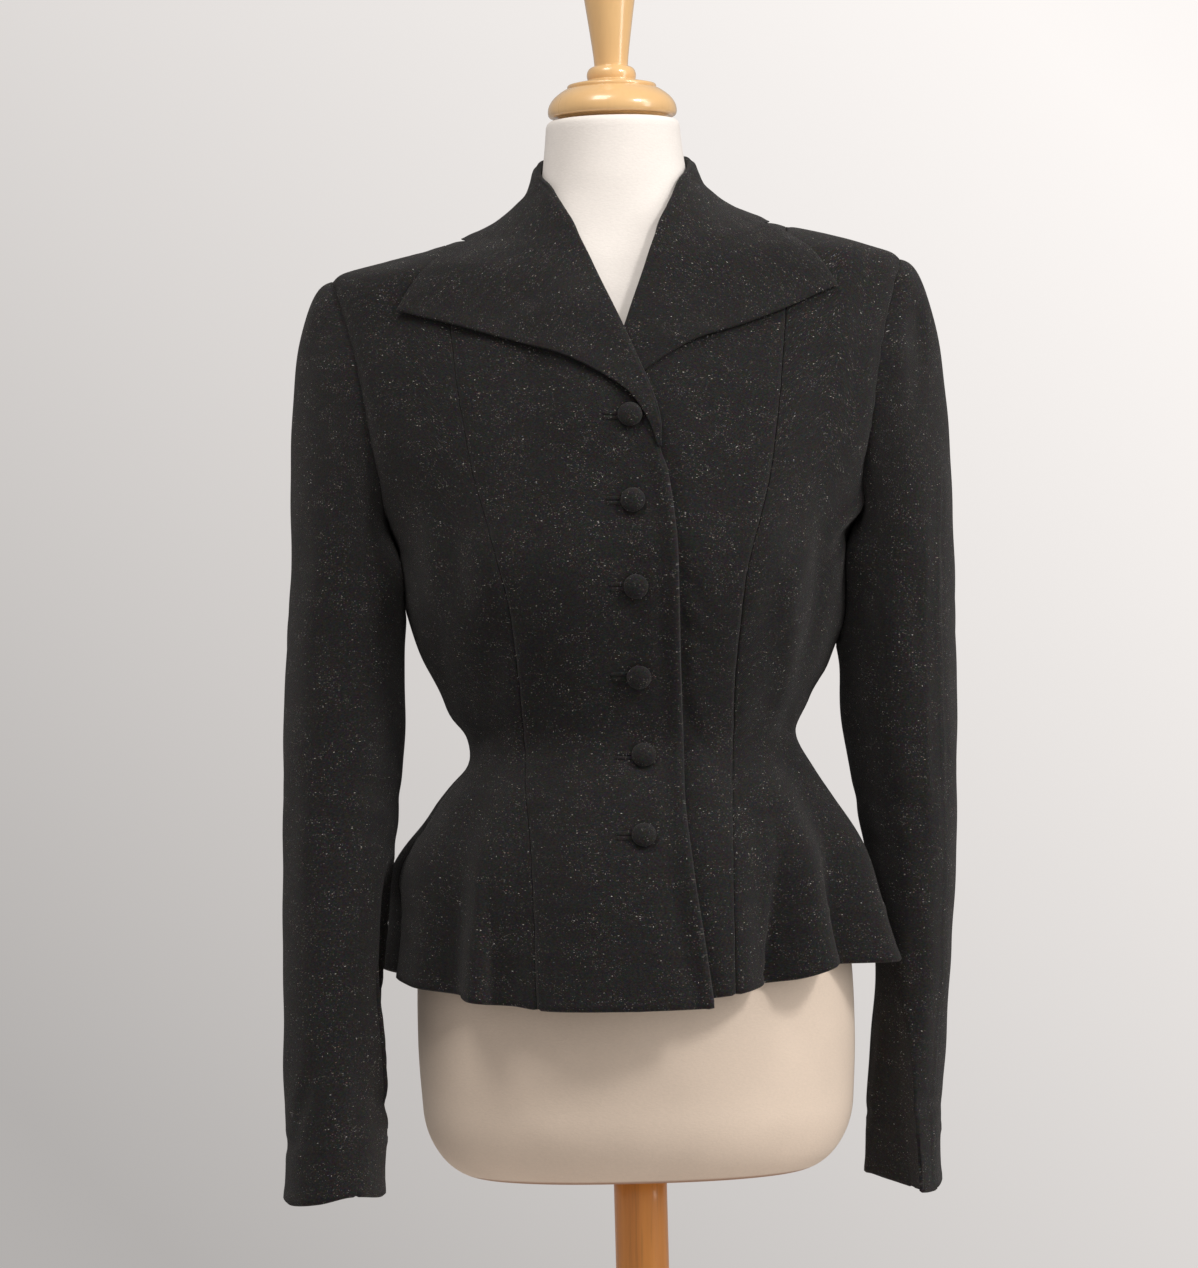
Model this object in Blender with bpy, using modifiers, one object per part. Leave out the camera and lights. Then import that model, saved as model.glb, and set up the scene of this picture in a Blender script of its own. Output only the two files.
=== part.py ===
"""A fitted tweed jacket with a wing collar, princess seams and a fluted peplum, buttoned on a
limbless dress form that stands on a pole and a round base.

Metres, +Z up, the front faces -Y, the wearer's left is +X. The origin is on the floor under the base.
Angles on the torso run from 0 at centre front, through 90 degrees at the wearer's left side, to 180 at
centre back. Each cloth piece is an open sheet through the rings of the torso or sleeve, made solid by
its wall thickness.
"""

import math
from collections import namedtuple

import bmesh
import bpy
import numpy as np
from mathutils.bvhtree import BVHTree

COLLECTION = "tweed_jacket_on_dress_form"

CLOTH = 0.0020
SEAM_GAP = 0.00045
LAY = 0.0034

HEM_SIDE = 0.9315
WAIST = 1.079
UNDERARM = 1.218
SHOULDER = 1.388
NECK_POINT = 1.4375
BACK_NECK = 1.4320
FLUTE_TOP = 1.066
FLUTE_GROWTH = 1.05
ROUNDNESS = 2.1

# Rows and columns of the panels. Columns share the angle below UPPER_PANEL, a share of the height from
# hem to shoulder, and the distance from the centre line above it.
PEPLUM_ROWS = 8
BODICE_ROWS = 7
RIGHT_FRONT_COLUMNS = 9
LEFT_FRONT_COLUMNS = 8
SIDE_FRONT_COLUMNS = 10
BACK_COLUMNS = 14
BACK_NECK_COLUMN = 8
UPPER_PANEL = (0.60, 0.74)
TOP_OF_PANEL = (0.75, 1.0)

Level = namedtuple("Level", "height half_width front back")
TORSO = (
    Level(0.880, 0.158, 0.139, 0.144),
    Level(0.931, 0.154, 0.135, 0.139),
    Level(0.969, 0.150, 0.130, 0.131),
    Level(1.002, 0.147, 0.122, 0.118),
    Level(1.035, 0.132, 0.108, 0.098),
    Level(1.079, 0.106, 0.091, 0.075),
    Level(1.102, 0.118, 0.096, 0.079),
    Level(1.135, 0.136, 0.106, 0.087),
    Level(1.165, 0.145, 0.114, 0.093),
    Level(1.195, 0.150, 0.117, 0.098),
    Level(1.218, 0.157, 0.115, 0.101),
    Level(1.275, 0.186, 0.106, 0.104),
    Level(1.335, 0.198, 0.086, 0.098),
    Level(1.370, 0.197, 0.072, 0.089),
    Level(1.388, 0.190, 0.065, 0.083),
    Level(1.400, 0.148, 0.060, 0.079),
    Level(1.4105, 0.104, 0.056, 0.074),
    Level(1.4375, 0.060, 0.049, 0.066),
    Level(1.450, 0.053, 0.047, 0.061),
    Level(1.465, 0.0500, 0.0460, 0.0580),
    Level(1.491, 0.0475, 0.0455, 0.0520),
)
FORM = (
    Level(0.7880, 0.112, 0.078, 0.074),
    Level(0.7915, 0.126, 0.091, 0.087),
    Level(0.8040, 0.137, 0.101, 0.097),
    Level(0.830, 0.143, 0.106, 0.104),
    Level(0.880, 0.1455, 0.108, 0.109),
    Level(0.940, 0.143, 0.106, 0.110),
    Level(1.000, 0.127, 0.099, 0.097),
    Level(1.040, 0.112, 0.091, 0.081),
    Level(1.079, 0.1025, 0.0875, 0.0715),
    Level(1.102, 0.114, 0.092, 0.075),
    Level(1.135, 0.131, 0.102, 0.083),
    Level(1.165, 0.140, 0.110, 0.089),
    Level(1.195, 0.145, 0.113, 0.094),
    Level(1.218, 0.151, 0.111, 0.097),
    Level(1.275, 0.165, 0.102, 0.100),
    Level(1.335, 0.177, 0.082, 0.094),
    Level(1.370, 0.182, 0.067, 0.084),
    Level(1.3855, 0.181, 0.059, 0.077),
    Level(1.3975, 0.145, 0.054, 0.073),
    Level(1.4083, 0.0985, 0.050, 0.069),
    Level(1.4205, 0.0725, 0.0470, 0.0650),
    Level(1.4360, 0.0550, 0.0445, 0.0615),
    Level(1.450, 0.0490, 0.0435, 0.0570),
    Level(1.465, 0.0465, 0.0425, 0.0545),
    Level(1.4905, 0.0440, 0.0420, 0.0480),
)

Mound = namedtuple("Mound", "out height wide tall lift")
BUST = Mound(out=0.078, height=1.190, wide=0.050, tall=0.048, lift=0.013)

# One row for each ridge and valley of the peplum, as it stands out at the hem.
Fold = namedtuple("Fold", "angle reach")
FLUTES = (
    Fold(-180, 0.004),
    Fold(-174, 0.004),
    Fold(-161, -0.007),
    Fold(-147, 0.013),
    Fold(-128, -0.009),
    Fold(-104, 0.021),
    Fold(-84, -0.005),
    Fold(-66, 0.006),
    Fold(-53, -0.006),
    Fold(-42, 0.010),
    Fold(-33, -0.005),
    Fold(-22, 0.000),
    Fold(28, 0.000),
    Fold(40, -0.009),
    Fold(53, 0.013),
    Fold(64, -0.012),
    Fold(75, 0.025),
    Fold(93, -0.008),
    Fold(112, 0.012),
    Fold(130, -0.008),
    Fold(148, 0.012),
    Fold(162, -0.007),
    Fold(174, 0.004),
    Fold(180, 0.004),
)
Hem = namedtuple("Hem", "angle height")
HEM = (
    Hem(0, 0.9085),
    Hem(25, 0.9105),
    Hem(45, 0.9200),
    Hem(75, 0.9310),
    Hem(90, HEM_SIDE),
    Hem(110, 0.9320),
    Hem(180, 0.9280),
)

# Seams of the fronts: how far from the centre line, at each height.
Seam = namedtuple("Seam", "height out")
PRINCESS = (
    Seam(0.880, 0.0640),
    Seam(1.000, 0.0655),
    Seam(1.079, 0.0680),
    Seam(1.115, 0.0700),
    Seam(1.180, 0.0785),
    Seam(1.265, 0.0985),
    Seam(1.340, 0.1085),
    Seam(1.4085, 0.1130),
)
LAP_EDGE = (
    Seam(0.880, 0.0510),
    Seam(0.910, 0.0485),
    Seam(0.950, 0.0430),
    Seam(0.995, 0.0390),
    Seam(1.046, 0.0360),
    Seam(1.116, 0.0360),
    Seam(1.193, 0.0365),
    Seam(1.251, 0.0325),
    Seam(1.288, 0.0260),
)
UNDERLAP = 0.018
RIGHT_BREAK = (1.280, 1.296)
LEFT_BREAK = (1.268, 1.288)
ARMHOLE = (
    Seam(UNDERARM, 0.1570),
    Seam(1.245, 0.1600),
    Seam(1.275, 0.1650),
    Seam(1.335, 0.1750),
    Seam(1.370, 0.1845),
    Seam(SHOULDER, 0.1900),
)

# The right front and its lapel lie over the left ones: how far the right front is lifted at each height.
Lift = namedtuple("Lift", "height lift")
LAP_LIFT = (
    Lift(0.880, 0.0037),
    Lift(1.255, 0.0037),
    Lift(1.290, 0.0065),
    Lift(1.354, 0.0065),
    Lift(1.398, 0.0000),
    Lift(1.450, 0.0000),
)
LAP_RISE = (-0.060, -0.026)

# Rows of the wing collar from the break of the lapel to centre back. The neck edge, the height of the
# stand that rises from it, and the outer edge of the fall. A back row is on the back of the torso.
Wing = namedtuple("Wing", "neck_out neck_height stand edge_out edge_height neck_back edge_back")
WING = (
    Wing(-0.0215, 1.2920, 0.0015, -0.0125, 1.2945, False, False),
    Wing(-0.0165, 1.3060, 0.0015, -0.0010, 1.3045, False, False),
    Wing(-0.0095, 1.3220, 0.0015, 0.0180, 1.3155, False, False),
    Wing(-0.0028, 1.3370, 0.0015, 0.0450, 1.3285, False, False),
    Wing(0.0038, 1.3515, 0.0015, 0.0800, 1.3405, False, False),
    Wing(0.0104, 1.3660, 0.0015, 0.1110, 1.3520, False, False),
    Wing(0.0165, 1.3790, 0.0018, 0.1430, 1.3635, False, False),
    Wing(0.0225, 1.3920, 0.0022, 0.1340, 1.3770, False, False),
    Wing(0.0290, 1.4040, 0.0030, 0.1220, 1.3930, False, False),
    Wing(0.0370, 1.4160, 0.0060, 0.1080, 1.4050, False, False),
    Wing(0.0505, 1.4300, 0.0120, 0.0980, 1.4115, False, True),
    Wing(0.0600, 1.4375, 0.0180, 0.0900, 1.4075, False, True),
    Wing(0.0560, 1.4385, 0.0230, 0.0740, 1.4005, True, True),
    Wing(0.0320, 1.4360, 0.0270, 0.0430, 1.3950, True, True),
    Wing(0.0000, 1.4320, 0.0290, 0.0000, 1.3925, True, True),
)

# The left half is set further out than the right one, which covers its lower end.
LEFT_SHIFT = 0.014
LEFT_SHIFT_REACH = 0.15
LEFT_LOWER_EDGE = (1.345, 1.300)
LEFT_TIP_RISE = 0.006
LEFT_TIP_ROWS = 1.3
FOLD_RADIUS = 0.00135
STAND_START = 0.0017
STAND_GROWS = (0.003, 0.012)
NECK_EASE = 0.0011
NECK_EASE_HEIGHTS = (1.390, 1.412)
FALL_STEPS = 8
FALL_LEAVE = 0.30
FALL_ARRIVE = 0.35
POINT_ROW = 6
SHOULDER_ROW = 8
BACK_ROWS = 13

# Rings of each sleeve below its cap, outwards from the body: middle, half width and half depth.
Ring = namedtuple("Ring", "height out back half_width half_depth")
SLEEVE_RIGHT = (
    Ring(1.190, 0.1870, 0.000, 0.0335, 0.0600),
    Ring(1.150, 0.1870, -0.002, 0.0375, 0.0580),
    Ring(1.100, 0.1890, -0.006, 0.0385, 0.0550),
    Ring(1.040, 0.1925, -0.013, 0.0370, 0.0510),
    Ring(0.985, 0.1950, -0.023, 0.0350, 0.0475),
    Ring(0.930, 0.1972, -0.034, 0.0335, 0.0445),
    Ring(0.870, 0.1985, -0.045, 0.0325, 0.0420),
    Ring(0.815, 0.1988, -0.054, 0.0315, 0.0405),
    Ring(0.785, 0.2000, -0.058, 0.0320, 0.0405),
)
SLEEVE_LEFT = (
    Ring(1.190, 0.1860, 0.002, 0.0330, 0.0600),
    Ring(1.150, 0.1825, 0.006, 0.0365, 0.0590),
    Ring(1.100, 0.1830, 0.011, 0.0360, 0.0570),
    Ring(1.040, 0.1855, 0.017, 0.0325, 0.0545),
    Ring(0.985, 0.1875, 0.020, 0.0285, 0.0520),
    Ring(0.930, 0.1872, 0.020, 0.0245, 0.0490),
    Ring(0.870, 0.1820, 0.017, 0.0240, 0.0465),
    Ring(0.810, 0.1765, 0.010, 0.0240, 0.0450),
    Ring(0.776, 0.1755, 0.006, 0.0245, 0.0450),
)
ARMHOLE_STEPS = 9
ARMHOLE_TURN = 0.022
ARMHOLE_LEAD = 0.070
CAP_STEPS = (0.0, 0.07, 0.17, 0.30, 0.47, 0.70)
CAP_SWING = 0.45
CAP_TUCK = 0.80
CAP_BULGE = 0.35
CAP_CLEAR_TOP = 0.0005
CAP_CLEAR_UNDER = 0.0026
FRONT_SLEEVE_SEAM = 6
BACK_SLEEVE_SEAM = 13

BUTTON_OUT = 0.0085
BUTTON_HEIGHTS = (1.2845, 1.231, 1.177, 1.120, 1.066, 1.015)
BUTTON_SEAT = 0.0021
BUTTON_SIDES = 10
BUTTON_PROFILE = (
    (0.0000, 0.0066),
    (0.0027, 0.0063),
    (0.0052, 0.0054),
    (0.0069, 0.0040),
    (0.0075, 0.0025),
    (0.0071, 0.0011),
    (0.0058, 0.0001),
    (0.0000, 0.0000),
)
BUTTONHOLE_REACH = (-0.0180, 0.0035)
BUTTONHOLE_END = 0.0025
LIP_HEIGHTS = (-0.0030, -0.0004, 0.0004, 0.0030)
LIP_WALL = 0.0008
LIP_GAP = 0.0006

CAP_PROFILE = (
    (0.0000, 0.1120),
    (0.0090, 0.1105),
    (0.0155, 0.1060),
    (0.0183, 0.0985),
    (0.0184, 0.0900),
    (0.0175, 0.0830),
    (0.0145, 0.0660),
    (0.0118, 0.0500),
    (0.0112, 0.0395),
    (0.0150, 0.0385),
    (0.0168, 0.0345),
    (0.0160, 0.0300),
    (0.0180, 0.0288),
    (0.0290, 0.0255),
    (0.0305, 0.0225),
    (0.0355, 0.0195),
    (0.0405, 0.0130),
    (0.0432, 0.0050),
    (0.0430, 0.0000),
    (0.0000, 0.0000),
)
CAP_SEAT = 1.4908
CAP_SHIFT = 0.003
POLE_RADIUS = 0.0177
FORM_SIDES = 28
TURNED_SIDES = 24
BASE_SIDES = 32
BASE_PROFILE = (
    (0.0000, 0.0520),
    (0.0240, 0.0520),
    (0.0275, 0.0490),
    (0.0280, 0.0320),
    (0.0330, 0.0270),
    (0.1450, 0.0220),
    (0.1560, 0.0190),
    (0.1600, 0.0130),
    (0.1600, 0.0000),
    (0.0000, 0.0000),
)

TWEED = ("tweed", (0.020, 0.019, 0.021, 1.0), 0.95)
JERSEY = ("jersey", (0.78, 0.76, 0.71, 1.0), 0.85)
BLOND_WOOD = ("blond_wood", (0.72, 0.50, 0.28, 1.0), 0.35)
BROWN_WOOD = ("brown_wood", (0.44, 0.24, 0.11, 1.0), 0.40)


def curve(rows, column, at):
    """Reads a column of a table between its rows, smoothly and with no overshoot."""
    key = np.array([row[0] for row in rows])
    value = np.array([getattr(row, column) for row in rows])
    at = np.clip(at, key[0], key[-1])
    step = np.diff(key)
    slope = np.diff(value) / step
    tangent = np.concatenate([slope[:1], (slope[:-1] + slope[1:]) / 2, slope[-1:]])
    turning = slope[:-1] * slope[1:] <= 0
    tangent[1:-1][turning] = 0.0
    limit = 3 * np.minimum(np.abs(slope[:-1]), np.abs(slope[1:]))
    tangent[1:-1] = np.clip(tangent[1:-1], -limit, limit)
    i = np.clip(np.searchsorted(key, at, side="right") - 1, 0, len(step) - 1)
    t = (at - key[i]) / step[i]
    rise = value[i] * (1 + 2 * t) * (1 - t) ** 2 + value[i + 1] * t**2 * (3 - 2 * t)
    bend = tangent[i] * t * (1 - t) ** 2 - tangent[i + 1] * t**2 * (1 - t)
    return rise + bend * step[i]


def ease(low, high, at):
    """Runs smoothly from 0 at low to 1 at high."""
    t = np.clip((at - low) / (high - low), 0.0, 1.0)
    return t * t * (3 - 2 * t)


def mix(a, b, share):
    return a + (b - a) * share


def ring_radius(levels, angle, height):
    deep = np.where(
        np.cos(angle) > 0, curve(levels, "front", height), curve(levels, "back", height)
    )
    across = np.abs(np.sin(angle)) / curve(levels, "half_width", height)
    along = np.abs(np.cos(angle)) / deep
    radius = (across**ROUNDNESS + along**ROUNDNESS) ** (-1 / ROUNDNESS)
    return radius + bust_lift(radius * np.sin(angle), np.cos(angle), height)


def bust_lift(x, facing, height):
    level = np.exp(-(((height - BUST.height) / BUST.tall) ** 2))
    near = np.exp(-(((np.abs(x) - BUST.out) / BUST.wide) ** 2))
    return BUST.lift * near * level * np.maximum(facing, 0.0)


def torso_radius(angle, height):
    fall = np.clip((FLUTE_TOP - height) / (FLUTE_TOP - HEM_SIDE), 0.0, 1.3)
    turned = np.degrees(np.arctan2(np.sin(angle), np.cos(angle)))
    flute = curve(FLUTES, "reach", turned) * fall**FLUTE_GROWTH
    return ring_radius(TORSO, angle, height) + flute


def ring_point(radius, angle, height):
    return np.stack([radius * np.sin(angle), -radius * np.cos(angle), height], axis=-1)


def unit(vector):
    return vector / np.linalg.norm(vector, axis=-1, keepdims=True)


def torso(angle, height, lift=0.0):
    """Points on the middle of the jacket's cloth, moved out by lift."""
    angle, height, lift = np.broadcast_arrays(angle, height, lift)
    point = ring_point(torso_radius(angle, height), angle, height)
    if not np.any(lift):
        return point
    return point + torso_normal(angle, height) * lift[..., None]


def torso_normal(angle, height):
    da, dz = 1e-3, 2e-4
    round_the_ring = torso(angle + da, height) - torso(angle - da, height)
    up_the_body = torso(angle, height + dz) - torso(angle, height - dz)
    return unit(np.cross(round_the_ring, up_the_body))


def clear_of_torso(point, gap):
    """Moves points out of the torso until each is at least gap from the middle of its cloth."""
    step = 2e-4
    for _ in range(6):
        depth = torso_depth(point)
        slope = np.stack(
            [(torso_depth(point + step * axis) - depth) / step for axis in np.eye(3)], axis=-1
        )
        steep = np.linalg.norm(slope, axis=-1)
        short = np.maximum(gap - depth / steep, 0.0)
        point = point + slope / steep[..., None] * short[..., None]
    return point


def torso_depth(point):
    x, y, z = np.moveaxis(point, -1, 0)
    return np.hypot(x, y) - torso_radius(np.arctan2(x, -y), z)


def angle_at(x, height, back=False):
    """The angle on the torso's front, or back, that lies this far from the centre line."""
    x, height = np.broadcast_arrays(np.asarray(x, float), np.asarray(height, float))
    low = np.full(x.shape, math.pi if back else -math.pi / 2)
    high = np.full(x.shape, math.pi / 2)
    for _ in range(40):
        middle = (low + high) / 2
        short = torso_radius(middle, height) * np.sin(middle) < x
        low = np.where(short, middle, low)
        high = np.where(short, high, middle)
    return (low + high) / 2


def ridge_height(x):
    """Height of the shoulder line this far from the centre."""
    heights = np.linspace(NECK_POINT, SHOULDER, 200)
    return np.interp(x, curve(TORSO, "half_width", heights), heights)


def row_heights():
    """Rows of the panels at the side seam, hem to shoulder point."""
    peplum = WAIST - (WAIST - HEM_SIDE) * np.linspace(1, 0, PEPLUM_ROWS) ** 1.4
    bodice = WAIST + (UNDERARM - WAIST) * np.linspace(0, 1, BODICE_ROWS) ** 1.3
    turn = np.linspace(0, math.pi, ARMHOLE_STEPS + 1)
    armhole = UNDERARM + (SHOULDER - UNDERARM) * (1 - np.cos(turn)) / 2
    return np.concatenate([peplum, bodice[1:], armhole[1:]])


def princess_angle(height):
    return angle_at(curve(PRINCESS, "out", height), height)


def side_angle(height, back=False):
    """The side seam up to the underarm, then the armhole."""
    armhole = angle_at(curve(ARMHOLE, "out", height), height, back)
    return np.where(height > UNDERARM, armhole, math.pi / 2)


def neck_edge_angle(height, shift):
    """The front's inner edge above the break, which the lapel folds over, up to the neck point."""
    rows = [
        Seam(row.neck_height, row.neck_out + left_shift(row.neck_height, shift))
        for row in WING
        if row.neck_height <= NECK_POINT and not row.neck_back
    ]
    return angle_at(curve(rows, "out", height), height)


def lapped_edge_angle(height):
    """The edge of the right front, as an angle on the wearer's right."""
    below = angle_at(-curve(LAP_EDGE, "out", height), height)
    above = neck_edge_angle(height, 0.0)
    return mix(below, above, ease(*RIGHT_BREAK, height))


def under_edge_angle(height):
    """The edge of the left front, hidden under the right one."""
    below = angle_at(np.full_like(height, -UNDERLAP), height)
    above = neck_edge_angle(height, LEFT_SHIFT)
    return mix(below, above, ease(*LEFT_BREAK, height))


def columns_by_armhole(height, back=False):
    """Where the columns beside the side seam head for: they start to leave it before the armhole does."""
    turned = side_angle(np.maximum(height, UNDERARM + ARMHOLE_TURN), back)
    return mix(math.pi / 2, turned, ease(UNDERARM - ARMHOLE_LEAD, UNDERARM, height))


def panel(inner, outer, top, columns, back=False):
    """Angles and heights of a panel's rows between two seams, hem to top edge.

    Below the underarm the columns share the angle between the seams. Above it they share the distance
    from the centre line, and end at the places along the top edge that top gives.
    """
    across = np.linspace(0, 1, columns + 1)
    level = np.full(columns + 1, HEM_SIDE)
    hem_angle = mix(inner(level), outer(level), across)
    hem = curve(HEM, "height", np.degrees(np.abs(hem_angle)))
    share = ((row_heights() - HEM_SIDE) / (SHOULDER - HEM_SIDE))[:, None]
    top_out, top_height = top(across)
    height = hem + share * (top_height - hem)
    first, last = inner(height[:, :1]), outer(height[:, -1:])
    from_angle = columns_by_armhole(height[:, :1], back) if back else first
    to_angle = columns_by_armhole(height[:, -1:]) if outer is side_angle else last
    start = torso_radius(from_angle, height[:, :1]) * np.sin(from_angle)
    end = torso_radius(to_angle, height[:, -1:]) * np.sin(to_angle)
    spread = (top_out - top_out[0]) / (top_out[-1] - top_out[0])
    out = mix(start, end, mix(across, spread, ease(*TOP_OF_PANEL, share)))
    upper = ease(*UPPER_PANEL, share)
    angle = mix(mix(from_angle, to_angle, across), angle_at(out, height, back), upper)
    angle[:, :1], angle[:, -1:] = first, last
    return angle, height


def centre_front_top(across):
    out = mix(curve(TORSO, "half_width", NECK_POINT), PRINCESS[-1].out, across)
    return out, ridge_height(out)


def side_front_top(across):
    out = mix(PRINCESS[-1].out, ARMHOLE[-1].out, across)
    return out, ridge_height(out)


def back_top(across):
    """The shoulder seam to the neck point, then round the back neck."""
    corner = BACK_NECK_COLUMN / BACK_COLUMNS
    neck = curve(TORSO, "half_width", NECK_POINT)
    shoulder = mix(ARMHOLE[-1].out, neck, np.minimum(across / corner, 1))
    round_neck = np.maximum((across - corner) / (1 - corner), 0)
    out = shoulder * np.cos(round_neck * math.pi / 2)
    return out, ridge_height(shoulder) + (BACK_NECK - NECK_POINT) * round_neck


def trimmed(grid, first_column=True, last_column=True, last_row=True, gap=SEAM_GAP):
    """Draws the columns at the sides, and the row at the top, back from their seams."""
    grid = np.array(grid)
    if first_column:
        grid[:, 0] += unit(grid[:, 1] - grid[:, 0]) * gap
    if last_column:
        grid[:, -1] += unit(grid[:, -2] - grid[:, -1]) * gap
    if last_row:
        grid[-1] += unit(grid[-2] - grid[-1]) * gap
    return grid


def lap_lift(x, height):
    return curve(LAP_LIFT, "lift", height) * ease(*LAP_RISE, x)


def right_front_points(angle, height):
    """The right front, lifted where it laps over the left one."""
    x = torso_radius(angle, height) * np.sin(angle)
    return torso(angle, height, lap_lift(x, height))


def front_grids():
    angle, height = panel(lapped_edge_angle, princess_angle, centre_front_top, RIGHT_FRONT_COLUMNS)
    yield "front_centre_right", trimmed(right_front_points(-angle, height), first_column=False)
    angle, height = panel(under_edge_angle, princess_angle, centre_front_top, LEFT_FRONT_COLUMNS)
    yield "front_centre_left", trimmed(torso(angle, height), first_column=False)
    angle, height = panel(princess_angle, side_angle, side_front_top, SIDE_FRONT_COLUMNS)
    yield "front_side_right", trimmed(torso(-angle, height))
    yield "front_side_left", trimmed(torso(angle, height))


def back_grids():
    def back_side_angle(height):
        return side_angle(height, back=True)

    def centre_back_angle(height):
        return np.full_like(height, math.pi)

    angle, height = panel(back_side_angle, centre_back_angle, back_top, BACK_COLUMNS, back=True)
    yield "back_right", trimmed(torso(-angle, height))
    yield "back_left", trimmed(torso(angle, height))


def armhole_loop():
    """Points round the left armhole: shoulder, front, underarm, back."""
    height = row_heights()[-1 - np.arange(ARMHOLE_STEPS + 1)]
    front = torso(side_angle(height), height)
    back = torso(side_angle(height, back=True), height)
    return np.concatenate([front, back[-2:0:-1]])


def sleeve_grid(rings):
    """Rows of points round a left sleeve, from the armhole down the cap and on to the cuff."""
    loop = armhole_loop()
    turn = np.linspace(0, 2 * math.pi, len(loop), endpoint=False)
    under = (1 - np.cos(turn)) / 2
    start = loop + np.outer(mix(CAP_CLEAR_TOP, CAP_CLEAR_UNDER, under), (1, 0, 0))
    lower = [sleeve_ring(ring, turn) for ring in rings]
    reach = np.linalg.norm(lower[0] - start, axis=-1, keepdims=True)
    leave = np.stack([1 - CAP_TUCK * under, -CAP_BULGE * np.sin(turn), -under], axis=-1)
    leave = unit(leave) * reach * CAP_SWING
    arrive = np.array([0.0, 0.0, -1.0]) * reach
    cap = [hermite(start, leave, lower[0], arrive, t) for t in CAP_STEPS]
    return np.array(cap + lower)


def sleeve_ring(ring, turn):
    x = ring.out + ring.half_width * np.cos(turn)
    y = ring.back - ring.half_depth * np.sin(turn)
    return np.stack([x, y, np.full(turn.shape, ring.height)], axis=-1)


def hermite(start, leave, end, arrive, t):
    rise = start * (1 + 2 * t) * (1 - t) ** 2 + end * t**2 * (3 - 2 * t)
    return rise + leave * t * (1 - t) ** 2 - arrive * t**2 * (1 - t)


def sleeve_grids():
    for side, rings in (("right", SLEEVE_RIGHT), ("left", SLEEVE_LEFT)):
        whole = sleeve_grid(rings)
        if side == "right":
            whole = mirrored(whole)
        under = range(FRONT_SLEEVE_SEAM, BACK_SLEEVE_SEAM + 1)
        top = range(BACK_SLEEVE_SEAM - whole.shape[1], FRONT_SLEEVE_SEAM + 1)
        for piece, columns in (("under", under), ("top", top)):
            grid = trimmed(whole[:, list(columns)], last_row=False, gap=2 * SEAM_GAP)
            yield f"sleeve_{piece}_{side}", grid


def mirrored(grid):
    return grid * np.array([-1.0, 1.0, 1.0])


def wing_rows():
    """Places along the collar: each row of the lapel, and closer ones from the shoulder to the back."""
    to_back = np.linspace(SHOULDER_ROW, len(WING) - 1, BACK_ROWS)
    return np.concatenate([np.arange(SHOULDER_ROW), to_back])


def along_wing(values, at):
    """Reads a value given for each row of the collar's table, with a corner at the wing's point."""
    rows = [Seam(i, value) for i, value in enumerate(values)]
    lapel = curve(rows[: POINT_ROW + 1], "out", at)
    fall = curve(rows[POINT_ROW:], "out", at)
    return np.where(at <= POINT_ROW, lapel, fall)


def wing_edge(kind, shift, at):
    """Angles and heights along the neck edge or the outer edge."""
    out = np.array([getattr(row, f"{kind}_out") for row in WING])
    height = np.array([getattr(row, f"{kind}_height") for row in WING])
    back = np.array([getattr(row, f"{kind}_back") for row in WING])
    if kind == "neck":
        out = np.where(back, out, out + left_shift(height, shift))
    else:
        near_tip = np.exp(-(((np.arange(len(WING)) - POINT_ROW) / LEFT_TIP_ROWS) ** 2))
        low = ease(*LEFT_LOWER_EDGE, height)
        out = out + shift * low
        height = height + (near_tip + low / 2) * LEFT_TIP_RISE * shift / LEFT_SHIFT
    angle = np.where(back, angle_at(out, height, True), angle_at(out, height))
    return along_wing(angle, at), along_wing(height, at)


def left_shift(height, shift):
    return shift * np.maximum(NECK_POINT - height, 0) / LEFT_SHIFT_REACH


def stand_sections(angle, height, stand, lifted):
    """The stand from the neck edge to the fold, with the directions up and out of the fold.

    On the lapel it is only a turn across the front's edge; round the neck it follows the torso upwards.
    """
    neck = torso(angle, height, lifted(angle, height))
    out = torso_normal(angle, height)
    across = unit(np.cross(out, unit(np.gradient(neck, axis=0))))
    across = across * np.where(across[:, 2:3] < 0, -1, 1)
    standing = ease(*STAND_GROWS, stand)[:, None]

    def raised(share):
        rise = STAND_START + stand * share
        return mix(neck + across * rise[:, None], torso(angle, height + rise), standing)

    top = height + STAND_START + stand
    upward = unit(torso(angle, top + 1e-3) - torso(angle, top - 1e-3))
    up = unit(mix(across, upward, standing))
    out = unit(mix(out, torso_normal(angle, top), standing))
    return [raised(0.0), raised(0.5), raised(1.0)], up, out


def collar_grid(shift, lifted):
    """One half of the collar, drawn on the wearer's left: the stand, the fold and the fall on the body."""
    at = wing_rows()
    angle, height = wing_edge("neck", shift, at)
    edge_angle, edge_height = wing_edge("edge", shift, at)
    stand = along_wing([row.stand for row in WING], at)
    rise, up, out = stand_sections(angle, height, stand, lifted)
    turned = rise[-1] + up * FOLD_RADIUS + out * FOLD_RADIUS
    over = rise[-1] + out * 2 * FOLD_RADIUS
    edge = torso(edge_angle, edge_height, LAY + lifted(edge_angle, edge_height))
    fall = [fall_point(over, up, edge, t) for t in np.linspace(0, 1, FALL_STEPS + 1)[1:]]
    fall = np.stack(fall, axis=1)
    x, y, z = np.moveaxis(fall, -1, 0)
    gap = LAY + NECK_EASE * ease(*NECK_EASE_HEIGHTS, z)
    fall = clear_of_torso(fall, gap + lifted(np.arctan2(x, -y), z))
    return np.concatenate([np.stack([*rise, turned, over], axis=1), fall], axis=1)


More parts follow.
